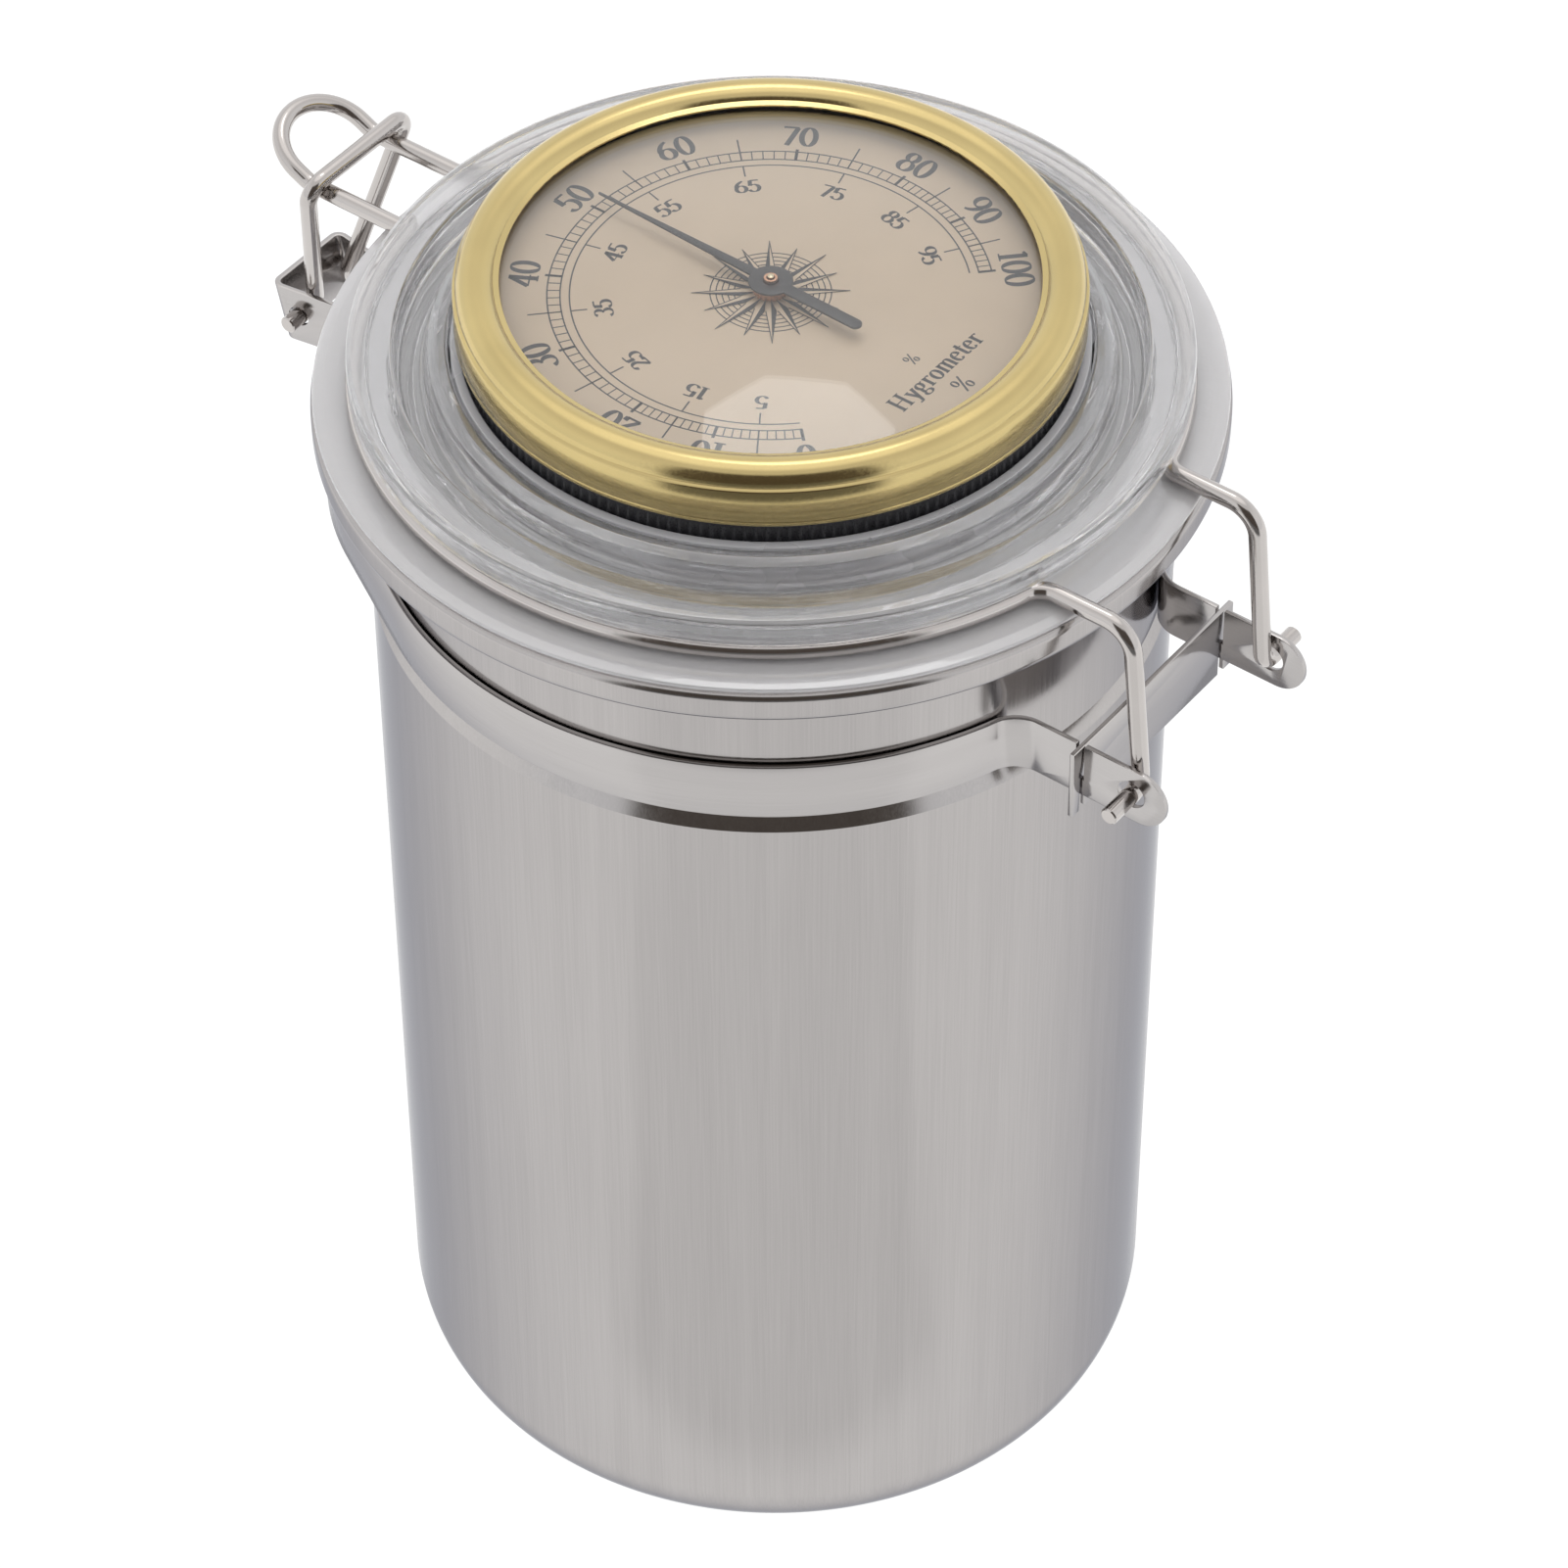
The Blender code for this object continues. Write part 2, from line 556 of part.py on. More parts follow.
def make_calibrator():
    bore = arc((0.0, 0.0), 2.3, 0, 337.5, 15)
    hub_r = 4.2
    half_width = 1.3
    spread = math.degrees(math.asin(half_width / hub_r))
    outline = arc((0.0, 0.0), hub_r, 90 + spread, 450 - spread, 20)
    outline += [(half_width, ARM_REACH), (-half_width, ARM_REACH)]
    arm = placed(plate("calibration_arm", [outline, bore], ARM_Z), MOVEMENT)
    tab_half = half_width - 0.1
    tab_low = (-tab_half, ARM_REACH - 0.8, ARM_Z[0] + 0.2)
    boolean(arm, block("coil_tab", tab_low, (tab_half, ARM_REACH - 0.1, COIL_Z[1])), "UNION")
    screw_profile = [(0.0, 182.7), (4.0, 182.7), (4.0, 180.6), (0.0, 180.6)]
    screw = turned("calibration_screw", screw_profile, MOVEMENT, 24)
    boolean(screw, block("driver_slot", (-5.0, -0.5, 179.0), (5.0, 0.5, 181.5)))
    per_turn = 20
    steps = COIL_TURNS * per_turn
    spiral = []
    for i in range(steps + 1):
        angle = math.radians(90 + 360 * i / per_turn)
        radius = COIL_R[0] + (COIL_R[1] - COIL_R[0]) * i / steps
        spiral.append((radius * math.cos(angle), radius * math.sin(angle), 0.0))
    strip = poly_curve("sensing_coil", [spiral], False, True)
    strip.data.extrude = (COIL_Z[1] - COIL_Z[0]) * MM / 2
    strip.location.z = sum(COIL_Z) * MM / 2
    coil = placed(as_mesh(strip), COPPER)
    solidify = coil.modifiers.new("thickness", "SOLIDIFY")
    solidify.thickness = COIL_T * MM
    solidify.offset = 0.0
    solidify.use_even_offset = True


def make_needle():
    turned("arbor", [(0.0, 198.5), (ARBOR_R, 198.4), (ARBOR_R, 184.0), (0.0, 183.8)], MOVEMENT, 12)
    collet = [(0.55, 198.2), (COLLET_R, 198.2), (COLLET_R, 197.05), (0.55, 197.05)]
    turned("pointer_collet", collet, COPPER, 12)
    inner = [(0.55, COIL_Z[1]), (1.5, COIL_Z[1]), (1.5, COIL_Z[0]), (0.55, COIL_Z[0])]
    turned("coil_collet", inner, MOVEMENT, 12)
    root_half = 0.75
    tail_half = 0.9
    tip_half = 0.16
    root = math.degrees(math.asin(root_half / NEEDLE_BOSS_R))
    tail = math.degrees(math.asin(tail_half / NEEDLE_BOSS_R))
    outline = [(-tip_half, -NEEDLE_TIP), (tip_half, -NEEDLE_TIP)]
    outline += arc((0.0, 0.0), NEEDLE_BOSS_R, root - 90, 90 - tail, 8)
    outline += arc((0.0, NEEDLE_TAIL - tail_half), tail_half, 0, 180, 6)
    outline += arc((0.0, 0.0), NEEDLE_BOSS_R, 90 + tail, 270 - root, 8)
    hole = arc((0.0, 0.0), COLLET_R + 0.1, 0, 330, 11)
    z_range = (NEEDLE_Z - NEEDLE_T / 2, NEEDLE_Z + NEEDLE_T / 2)
    pointer = placed(plate("pointer", [outline, hole], z_range), DARK)
    pointer.rotation_euler.z = math.radians((50.0 - READING) * DEGREES_PER_PERCENT)


def pivot(name, at, parent=None):
    """An empty on a joint's axis, which carries the pieces that turn about it."""
    empty = bpy.data.objects.new(name, None)
    empty.location = Vector(at) * MM
    empty.empty_display_size = 0.01
    PARTS.objects.link(empty)
    if parent:
        carry(empty, parent)
    return empty


def carry(obj, empty):
    """Parents an object to an empty and keeps its place."""
    bpy.context.view_layer.update()
    obj.parent = empty
    obj.matrix_parent_inverse = empty.matrix_world.inverted()


def hang_on_joints():
    lid = pivot("lid_hinge", (0.0, *HINGE))
    bail = pivot("bail_pivot", (0.0, *LATCH))
    calibrator = pivot("calibration", CALIBRATOR_AT, lid)
    needle = pivot("needle_turn", NEEDLE_AT, lid)
    fixed = ("jar_body", "neck_strap", "tie_plate")
    turning = {
        "bail_wire": bail,
        "calibration_arm": calibrator,
        "calibration_screw": calibrator,
        "sensing_coil": calibrator,
        "arbor": needle,
        "pointer": needle,
        "pointer_collet": needle,
        "coil_collet": needle,
    }
    for obj in list(PARTS.objects):
        if obj.type == "MESH" and obj.name not in fixed:
            carry(obj, turning.get(obj.name, lid))


make_jar_body()
make_neck_strap()
make_tie_plate()
make_lid_wire()
make_bail_wire()
make_lid_shell()
make_lid_gasket()
make_bezel()
make_crystal()
make_instrument_shells()
make_movement()
make_calibrator()
make_needle()
hang_on_joints()
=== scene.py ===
"""The finished look of the canister with its dial hygrometer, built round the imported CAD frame.

Frame: the origin is the centre of the flat base, +Z is up, -Y points to the latch and +Y to the
hinge. Dimensions are in millimetres and objects are made in metres. Overall heights and radii come
from the CAD nodes' boxes, and the constants below hold the detail between them.
"""

import math

import bmesh
import bpy
from mathutils import Matrix, Vector


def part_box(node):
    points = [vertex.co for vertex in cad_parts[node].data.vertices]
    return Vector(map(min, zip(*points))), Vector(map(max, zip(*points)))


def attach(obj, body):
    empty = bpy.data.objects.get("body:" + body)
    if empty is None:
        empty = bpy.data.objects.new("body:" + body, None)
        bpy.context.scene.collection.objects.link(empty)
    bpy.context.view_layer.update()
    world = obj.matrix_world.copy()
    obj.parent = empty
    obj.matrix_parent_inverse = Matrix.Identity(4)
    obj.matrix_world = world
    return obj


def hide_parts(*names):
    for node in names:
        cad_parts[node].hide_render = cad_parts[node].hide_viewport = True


MM = 0.001
TURN_STEPS = 240
MERGE = 0.000001

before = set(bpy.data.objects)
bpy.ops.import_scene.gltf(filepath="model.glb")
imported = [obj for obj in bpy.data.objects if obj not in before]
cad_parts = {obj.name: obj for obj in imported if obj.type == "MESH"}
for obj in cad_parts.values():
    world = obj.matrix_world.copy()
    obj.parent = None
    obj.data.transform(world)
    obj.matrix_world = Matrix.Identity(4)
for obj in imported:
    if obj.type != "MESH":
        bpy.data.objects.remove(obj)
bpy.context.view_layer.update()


def box_mm(node):
    low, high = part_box(node)
    return low / MM, high / MM


JAR = box_mm("jar_body")
STRAP = box_mm("neck_strap")
TIE = box_mm("tie_plate")
LID = box_mm("lid_shell")
GASKET = box_mm("lid_gasket")
BEZEL = box_mm("bezel")
CRYSTAL = box_mm("crystal")
CASE = box_mm("instrument_case")
DIAL = box_mm("dial_plate")
COVER = box_mm("rear_cover")
POINTER = box_mm("pointer")
RING_WIRE = box_mm("lid_wire")
BAIL = box_mm("bail_wire")
BUSH = box_mm("upper_bush")

# Canister
FOOT_R = 55.15
BODY_R = 55.5
NECK_R = 54.6
SHOULDER_Z = (149.4, 151.4)
WALL = 0.8
FOOT_ARC = 12.0
FLARE_Z = 169.5
FLARE_ARC = 6.0
RIM_TOP = JAR[1].z
RIM_R = 62.3
HEM_INNER_R = 57.75
HEM_ARCS = (1.2, 1.1, 1.6)
HEM_FOOT = 177.2

# Neck strap and tie plate
STRAP_Z = (STRAP[0].z, STRAP[1].z)
STRAP_T = 0.8
STRAP_R = 55.2
EAR_X = 16.4
EAR_END = STRAP[1].y
EAR_BEND = 5.0
EAR_SLOT_DEPTH = 6.0
STANDOFF_ANGLE = -30.0
STANDOFF_RUN = 19.0
BRACKET_Y = -82.3
BRACKET_HALF = 7.2
BRACKET_ROOT_HALF = 4.6
BRACKET_LEAN = 2.0
TIE_Y = (TIE[0].y + TIE[1].y) / 2
LAP_GAP = 0.25

# Hinge and latch axes, both along X: (y, z)
HINGE = (71.5, 157.0)
LATCH = (-79.0, 157.0)
EAR_HOLE_R = 2.1
LATCH_HOLE_R = 1.55

# Wires
WIRE_R = 1.25
RING_R = 56.2
RING_Z = 183.1
ARM_X = 14.4
ARM_BEND_Y = 69.0
PIN_TIP = RING_WIRE[1].x if RING_WIRE[1].x < 30 else 22.0
LOOP_HALF = 7.0
KINK_Y = -75.0
LOOP_TILT = 27.0
LOOP_RUN = 2.65
BAIL_TOP = (11.0, -72.0, BAIL[1].z - WIRE_R)
BAIL_FOOT = 3.2
BAIL_PIN_TIP = BAIL[1].x if BAIL[1].x < 10 else 9.6

# Dial scale: 50 % points to -Y and values run clockwise. It is stretched between 20 and 80 %.
DIAL_TOP = DIAL[1].z
MIDDLE_DEGREES = 3.0
END_DEGREES = 2.25
NEEDLE_DEGREES = 1.8
TRACK_R = (28.05, 29.8)
INNER_LINE_R = 26.8
INK_T = 0.02

# Camera
CAM_AZIMUTH = 127.0
CAM_ELEVATION = 44.2
CAM_DISTANCE = 914.7
CAM_LENS = 146.4
CAM_ROLL = -0.27
CAM_TARGET = (-0.88, 1.16, 104.4)


# ---------------------------------------------------------------- shapes


def arc(centre, radius, start, end, steps):
    """Points on an arc from start to end, in degrees, both ends included."""
    angles = [math.radians(start + (end - start) * i / steps) for i in range(steps + 1)]
    return [(centre[0] + radius * math.cos(a), centre[1] + radius * math.sin(a)) for a in angles]


def softened(corners, radius, steps=4):
    """The closed outline with each corner rounded by up to this radius."""
    outline = []
    count = len(corners)
    for i, corner in enumerate(corners):
        here = Vector(corner)
        before = Vector(corners[i - 1]) - here
        after = Vector(corners[(i + 1) % count]) - here
        half = before.angle(after) / 2
        cut = min(radius / math.tan(half), 0.42 * before.length, 0.42 * after.length)
        first = here + before.normalized() * cut
        last = here + after.normalized() * cut
        for step in range(steps + 1):
            t = step / steps
            outline.append(tuple(first * (1 - t) ** 2 + here * 2 * t * (1 - t) + last * t**2))
    return outline


def rounded(corners, bends, steps=12):
    """The polyline through the corners, with each inner corner turned into an arc of its bend."""
    path = [Vector(corners[0])]
    for before, corner, after, bend in zip(corners, corners[1:], corners[2:], bends):
        corner = Vector(corner)
        inward = (Vector(before) - corner).normalized()
        outward = (Vector(after) - corner).normalized()
        half = inward.angle(outward) / 2
        centre = corner + (inward + outward).normalized() * bend / math.sin(half)
        first = corner + inward * bend / math.tan(half) - centre
        last = corner + outward * bend / math.tan(half) - centre
        turn = first.angle(last)
        for i in range(steps + 1):
            near = math.sin(turn * (1 - i / steps)) / math.sin(turn)
            far = math.sin(turn * i / steps) / math.sin(turn)
            path.append(centre + first * near + last * far)
    path.append(Vector(corners[-1]))
    return [tuple(point) for point in path]


def leave_circle(radius, x, bend):
    """The arc by which a strip on a circle about the origin turns out onto the line at x. Gives the
    angle where it leaves the circle and the arc's points, for +X and +Y."""
    centre = (x + bend, math.sqrt((radius + bend) ** 2 - (x + bend) ** 2))
    angle = math.degrees(math.atan2(centre[1], centre[0]))
    return angle, arc(centre, bend, 180.0 + angle, 180.0, 12)


def mirrored(points):
    """The points with X reversed, in reverse order."""
    return [(-point[0], *point[1:]) for point in reversed(points)]


def finish_piece(name, mesh, surface, body, replaces=(), sharp=38):
    """Links a mesh as a piece that rides on a body and may stand for CAD nodes. Edges that turn by
    more than sharp degrees are not smoothed."""
    obj = bpy.data.objects.new(name, mesh)
    bpy.context.scene.collection.objects.link(obj)
    mesh.materials.clear()
    mesh.materials.append(surface)
    mesh.shade_smooth()
    mesh.set_sharp_from_angle(angle=math.radians(sharp))
    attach(obj, body)
    if replaces:
        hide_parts(*replaces)
    return obj


def mesh_from(name, points, faces):
    """A mesh in metres from millimetre points, with doubles merged and faces turned outwards."""
    mesh = bpy.data.meshes.new(name)
    mesh.from_pydata([Vector(point) * MM for point in points], [], faces)
    shape = bmesh.new()
    shape.from_mesh(mesh)
    bmesh.ops.remove_doubles(shape, verts=shape.verts, dist=MERGE)
    bmesh.ops.dissolve_degenerate(shape, dist=MERGE, edges=shape.edges)
    bmesh.ops.recalc_face_normals(shape, faces=shape.faces)
    shape.to_mesh(mesh)
    shape.free()
    return mesh


def lathe(name, profile, steps=TURN_STEPS, at=(0.0, 0.0), ripple=None):
    """A turned mesh about a vertical axis from a closed (radius, z) outline. ripple(i, radius, z)
    may change a point's radius at the i-th step, which cuts a knurl."""
    count = len(profile)
    points = []
    faces = []
    for i in range(steps):
        angle = math.tau * i / steps
        for radius, z in profile:
            if ripple:
                radius = ripple(i, radius, z)
            points.append((at[0] + radius * math.cos(angle), at[1] + radius * math.sin(angle), z))
        following = (i + 1) % steps
        for j in range(count):
            k = (j + 1) % count
            faces.append((i * count + j, following * count + j, following * count + k, i * count + k))
    return mesh_from(name, points, faces)


def tube(name, path, radius, sides=24, chamfer=0.18):
    """A round wire along the path, with frames carried along it and slightly chamfered ends."""
    path = [Vector(point) for point in path]
    tangents = [(b - a).normalized() for a, b in zip(path, path[1:])]
    tangents = [tangents[0]] + [(a + b).normalized() for a, b in zip(tangents, tangents[1:])] + [tangents[-1]]
    side = tangents[0].orthogonal().normalized()
    stations = []
    for point, tangent in zip(path, tangents):
        side = (side - tangent * side.dot(tangent)).normalized()
        stations.append((point, tangent, side, radius))
    first, last = stations[0], stations[-1]
    stations[0] = (first[0] + first[1] * chamfer, *first[1:])
    stations[-1] = (last[0] - last[1] * chamfer, *last[1:])
    stations.insert(0, (first[0], first[1], first[2], radius - chamfer))
    stations.append((last[0], last[1], last[2], radius - chamfer))
    points = []
    faces = []
    for point, tangent, side, size in stations:
        up = tangent.cross(side)
        for j in range(sides):
            angle = math.tau * j / sides
            points.append(point + (side * math.cos(angle) + up * math.sin(angle)) * size)
    for i in range(len(stations) - 1):
        for j in range(sides):
            k = (j + 1) % sides
            faces.append((i * sides + j, i * sides + k, (i + 1) * sides + k, (i + 1) * sides + j))
    faces.append(tuple(range(sides)))
    faces.append(tuple(len(points) - sides + j for j in range(sides)))
    return mesh_from(name, points, faces)


def slab(name, outline, z_range, bevel=0.0):
    """A flat plate from one closed outline, with its edges bevelled when a bevel width is given."""
    count = len(outline)
    points = [(x, y, z_range[0]) for x, y in outline] + [(x, y, z_range[1]) for x, y in outline]
    faces = [(j, (j + 1) % count, count + (j + 1) % count, count + j) for j in range(count)]
    faces.append(tuple(range(count)))
    faces.append(tuple(range(count, 2 * count)))
    mesh = mesh_from(name, points, faces)
    if bevel:
        bevelled(mesh, bevel)
    return mesh


def bevelled(mesh, width, angle=40.0, segments=2):
    """Rounds every edge sharper than the angle."""
    shape = bmesh.new()
    shape.from_mesh(mesh)
    sharp = [e for e in shape.edges if e.is_manifold and e.calc_face_angle() > math.radians(angle)]
    bmesh.ops.bevel(
        shape, geom=sharp, offset=width * MM, segments=segments, profile=0.5, affect="EDGES", clamp_overlap=True
    )
    shape.to_mesh(mesh)
    shape.free()


def box_mesh(name, low, high):
    x0, y0, z0 = low
    x1, y1, z1 = high
    return slab(name, [(x0, y0), (x1, y0), (x1, y1), (x0, y1)], (z0, z1))


def rod_mesh(name, centre, radius, length, sides=64, along="X"):
    ring = [(radius * math.cos(math.tau * j / sides), radius * math.sin(math.tau * j / sides)) for j in range(sides)]
    mesh = slab(name, ring, (-length / 2, length / 2))
    turn = Matrix.Rotation(math.radians(90), 4, "Y") if along == "X" else Matrix.Identity(4)
    mesh.transform(Matrix.Translation(Vector(centre) * MM) @ turn)
    return mesh


def cut(mesh, cutters, operation="DIFFERENCE"):
    """The mesh after a Boolean with each cutter mesh."""
    scene = bpy.context.scene.collection
    obj = bpy.data.objects.new("work", mesh)
    scene.objects.link(obj)
    helpers = []
    for cutter in cutters:
        helper = bpy.data.objects.new("cutter", cutter)
        scene.objects.link(helper)
        helpers.append(helper)
        modifier = obj.modifiers.new("cut", "BOOLEAN")
        modifier.operation = operation
        modifier.solver = "EXACT"
        modifier.object = helper
    bpy.context.view_layer.update()
    result = bpy.data.meshes.new_from_object(obj.evaluated_get(bpy.context.evaluated_depsgraph_get()))
    for helper in [obj, *helpers]:
        bpy.data.objects.remove(helper, do_unlink=True)
    result.name = mesh.name + "_cut"
    return result


# ---------------------------------------------------------------- materials


class Surface:
    """A node material with a Principled shader, and helpers that wire variation into it."""

    def __init__(self, name, colour, metallic=0.0, roughness=0.4, **sockets):
        self.material = bpy.data.materials.new(name)
        self.material.use_nodes = True
        self.tree = self.material.node_tree
        self.shader = self.tree.nodes["Principled BSDF"]
        self.colour = colour
        self.roughness = roughness
        self.shader.inputs["Base Color"].default_value = (*colour, 1.0)
        self.shader.inputs["Metallic"].default_value = metallic
        self.shader.inputs["Roughness"].default_value = roughness
        for socket, value in sockets.items():
            self.shader.inputs[socket.replace("_", " ")].default_value = value
        self.material.diffuse_color = (*colour, 1.0)

    def node(self, kind, **values):
        made = self.tree.nodes.new(kind)
        for name, value in values.items():
            setattr(made, name, value)
        return made

    def noise(self, size_mm, stretch=(1.0, 1.0, 1.0), detail=2.0):
        """Noise in the object's own space with features of about this size, longer where stretched."""
        place = self.node("ShaderNodeTexCoord")
        mapping = self.node("ShaderNodeMapping")
        texture = self.node("ShaderNodeTexNoise")
        scale = 1.0 / (size_mm * MM)
        mapping.inputs["Scale"].default_value = [scale / s for s in stretch]
        texture.inputs["Scale"].default_value = 1.0
        texture.inputs["Detail"].default_value = detail
        self.tree.links.new(place.outputs["Object"], mapping.inputs["Vector"])
        self.tree.links.new(mapping.outputs["Vector"], texture.inputs["Vector"])
        return texture.outputs["Fac"]

    def turned_lines(self, size_mm):
        """Noise that runs in rings about the vertical axis, with rings about this far apart."""
        place = self.node("ShaderNodeTexCoord")
        parts = self.node("ShaderNodeSeparateXYZ")
        self.tree.links.new(place.outputs["Object"], parts.inputs["Vector"])
        x, y, z = parts.outputs
        scale = 1.0 / (size_mm * MM)
        radius = self.math("SQRT", self.math("ADD", self.math("MULTIPLY", x, x), self.math("MULTIPLY", y, y)), 0.0)
        joined = self.node("ShaderNodeCombineXYZ")
        self.tree.links.new(self.math("MULTIPLY", radius, scale), joined.inputs["X"])
        self.tree.links.new(self.math("MULTIPLY", z, scale), joined.inputs["Y"])
        self.tree.links.new(self.math("MULTIPLY", self.math("ARCTAN2", y, x), 0.7), joined.inputs["Z"])
        texture = self.node("ShaderNodeTexNoise")
        texture.inputs["Scale"].default_value = 1.0
        self.tree.links.new(joined.outputs["Vector"], texture.inputs["Vector"])
        return texture.outputs["Fac"]

    def spread(self, value, low, high, from_low=0.3, from_high=0.7):
        """The value remapped so that it runs from low to high."""
        remap = self.node("ShaderNodeMapRange")
        remap.inputs["From Min"].default_value = from_low
        remap.inputs["From Max"].default_value = from_high
        remap.inputs["To Min"].default_value = low
        remap.inputs["To Max"].default_value = high
        self.tree.links.new(value, remap.inputs["Value"])
        return remap.outputs["Result"]

    def math(self, operation, a, b):
        made = self.node("ShaderNodeMath", operation=operation)
        for socket, value in zip(made.inputs, (a, b)):
            if isinstance(value, (int, float)):
                socket.default_value = value
            else:
                self.tree.links.new(value, socket)
        return made.outputs[0]

    def tint(self, factor, dark, light):
        """Base colour that runs between two shades by the factor."""
        mix = self.node("ShaderNodeMix", data_type="RGBA")
        mix.inputs["A"].default_value = (*dark, 1.0)
        mix.inputs["B"].default_value = (*light, 1.0)
        self.tree.links.new(factor, mix.inputs["Factor"])
        self.tree.links.new(mix.outputs["Result"], self.shader.inputs["Base Color"])

    def shade_by(self, factor, spread):
        """Base colour varied evenly about its own colour."""
        dark = [c * (1 - spread) for c in self.colour]
        light = [min(1.0, c * (1 + spread)) for c in self.colour]
        self.tint(factor, dark, light)

    def rough_by(self, factor, spread):
        value = self.spread(factor, self.roughness - spread, self.roughness + spread)
        self.tree.links.new(value, self.shader.inputs["Roughness"])

    def bump(self, height, depth_mm, strength=1.0):
        bump = self.node("ShaderNodeBump")
        bump.inputs["Strength"].default_value = strength
        bump.inputs["Distance"].default_value = depth_mm * MM
        self.tree.links.new(height, bump.inputs["Height"])
        self.tree.links.new(bump.outputs["Normal"], self.shader.inputs["Normal"])

    def let_lamps_through(self, colour):
        """Shadow rays pass with this colour, so that what is behind the clear piece is lit."""
        output = self.tree.nodes["Material Output"]
        path = self.node("ShaderNodeLightPath")
        clear = self.node("ShaderNodeBsdfTransparent")
        clear.inputs["Color"].default_value = (*colour, 1.0)
        mix = self.node("ShaderNodeMixShader")
        self.tree.links.new(path.outputs["Is Shadow Ray"], mix.inputs["Fac"])
        self.tree.links.new(self.shader.outputs["BSDF"], mix.inputs[1])
        self.tree.links.new(clear.outputs["BSDF"], mix.inputs[2])
        self.tree.links.new(mix.outputs["Shader"], output.inputs["Surface"])


def brushed(name, colour, roughness, stretch, line_mm=0.22, depth_mm=0.0016, spread=0.05):
    """Metal with fine lines drawn along the stretched axis, broad soft bands and faint smudges."""
    surface = Surface(name, colour, metallic=1.0, roughness=roughness)
    surface.shader.inputs["Specular Tint"].default_value = (0.50, 0.51, 0.55, 1.0)
    lines = surface.noise(line_mm, stretch, 3.0)
    bands = surface.noise(line_mm * 14, stretch, 2.0)
    smudges = surface.noise(26.0, (1.0, 1.0, 1.6), 3.0)
    both = surface.math("ADD", surface.math("MULTIPLY", lines, 0.45), surface.math("MULTIPLY", bands, 0.35))
    mixed = surface.math("ADD", both, surface.math("MULTIPLY", smudges, 0.2))
    surface.shade_by(surface.spread(mixed, 0.0, 1.0, 0.36, 0.64), spread)
    surface.rough_by(mixed, roughness * 0.35)
    surface.bump(lines, depth_mm)
    return surface.material


def polished(name, colour, roughness, grain_mm=0.5, depth_mm=0.0006, spread=0.04):
    """Bright metal with faint unevenness."""
    surface = Surface(name, colour, metallic=1.0, roughness=roughness)
    grain = surface.noise(grain_mm, detail=3.0)
    wide = surface.noise(12.0, detail=2.0)
    surface.shade_by(surface.spread(wide, 0.0, 1.0), spread)
    surface.rough_by(grain, roughness * 0.3)
    surface.bump(grain, depth_mm)
    return surface.material


def moulded(name, colour, roughness, grain_mm=0.25, depth_mm=0.004, spread=0.1):
    """Plastic, rubber or paint with a fine grain."""
    surface = Surface(name, colour, roughness=roughness)
    grain = surface.noise(grain_mm, detail=4.0)
    wide = surface.noise(8.0, detail=2.0)
    surface.shade_by(surface.spread(wide, 0.0, 1.0), spread)
    surface.rough_by(grain, 0.06)
    surface.bump(grain, depth_mm)
    return surface.material


def clear(name, colour, roughness, ior, lamps, ripple_mm=3.0, depth_mm=0.004, weight=1.0, lines_mm=0.0, gloss=0.0):
    """Clear plastic or glass with slight ripples in its surface, and turning lines if asked for."""
    surface = Surface(name, colour, roughness=roughness, Transmission_Weight=weight, IOR=ior)
    if gloss:
        surface.shader.inputs["Coat Weight"].default_value = 1.0
        surface.shader.inputs["Coat IOR"].default_value = gloss
        surface.shader.inputs["Coat Roughness"].default_value = 0.02
    ripples = surface.noise(ripple_mm, detail=2.0)
    surface.rough_by(ripples, roughness * 0.5)
    if lines_mm:
        ripples = surface.math("ADD", ripples, surface.turned_lines(lines_mm))
    surface.bump(ripples, depth_mm)
    surface.let_lamps_through(lamps)
    return surface.material


DRAWN_DOWN = (1.0, 1.0, 90.0)
DRAWN_ALONG = (60.0, 60.0, 1.0)
STEEL = brushed("brushed_steel", (0.475, 0.455, 0.445), 0.15, DRAWN_DOWN)
STRIP = brushed("strip_steel", (0.52, 0.50, 0.49), 0.17, DRAWN_ALONG, depth_mm=0.0008, spread=0.03)
WIRE = polished("wire_steel", (0.56, 0.53, 0.51), 0.13, 0.8)
ACRYLIC = clear("clear_acrylic", (0.99, 0.99, 1.0), 0.015, 1.49, (0.94, 0.94, 0.95), 6.0, 0.16, 0.90, 2.0, gloss=2.1)
SILICONE = clear("clear_silicone", (0.975, 0.97, 0.98), 0.12, 1.41, (0.88, 0.88, 0.89), 2.4, 0.09, 0.56, 1.6, gloss=1.8)
SLEEVE = clear("sleeve_silicone", (0.86, 0.86, 0.88), 0.3, 1.41, (0.7, 0.7, 0.7), 12.0, 0.004, 0.3)
BRASS = polished("polished_brass", (0.64, 0.51, 0.235), 0.18, 0.35, 0.0008, 0.05)
GLASS = clear("glass", (0.985, 0.985, 0.98), 0.01, 1.5, (0.96, 0.96, 0.95), 15.0, 0.0001)
RUBBER = moulded("black_rubber", (0.022, 0.022, 0.023), 0.55)
BLACK = moulded("black_plastic", (0.045, 0.045, 0.05), 0.3)
DIAL_PAINT = moulded("dial_paint", (0.75, 0.61, 0.46), 0.42, 0.12, 0.0006, 0.02)
INK = moulded("dial_ink", (0.055, 0.055, 0.062), 0.45, 0.1, 0.0004, 0.12)
NEEDLE = moulded("needle_paint", (0.05, 0.05, 0.055), 0.3, 0.15, 0.0008, 0.08)
COPPER = polished("copper", (0.62, 0.36, 0.24), 0.22, 0.3)
MOVEMENT = polished("movement_brass", (0.60, 0.53, 0.38), 0.28, 0.4, 0.001, 0.06)


# ---------------------------------------------------------------- canister


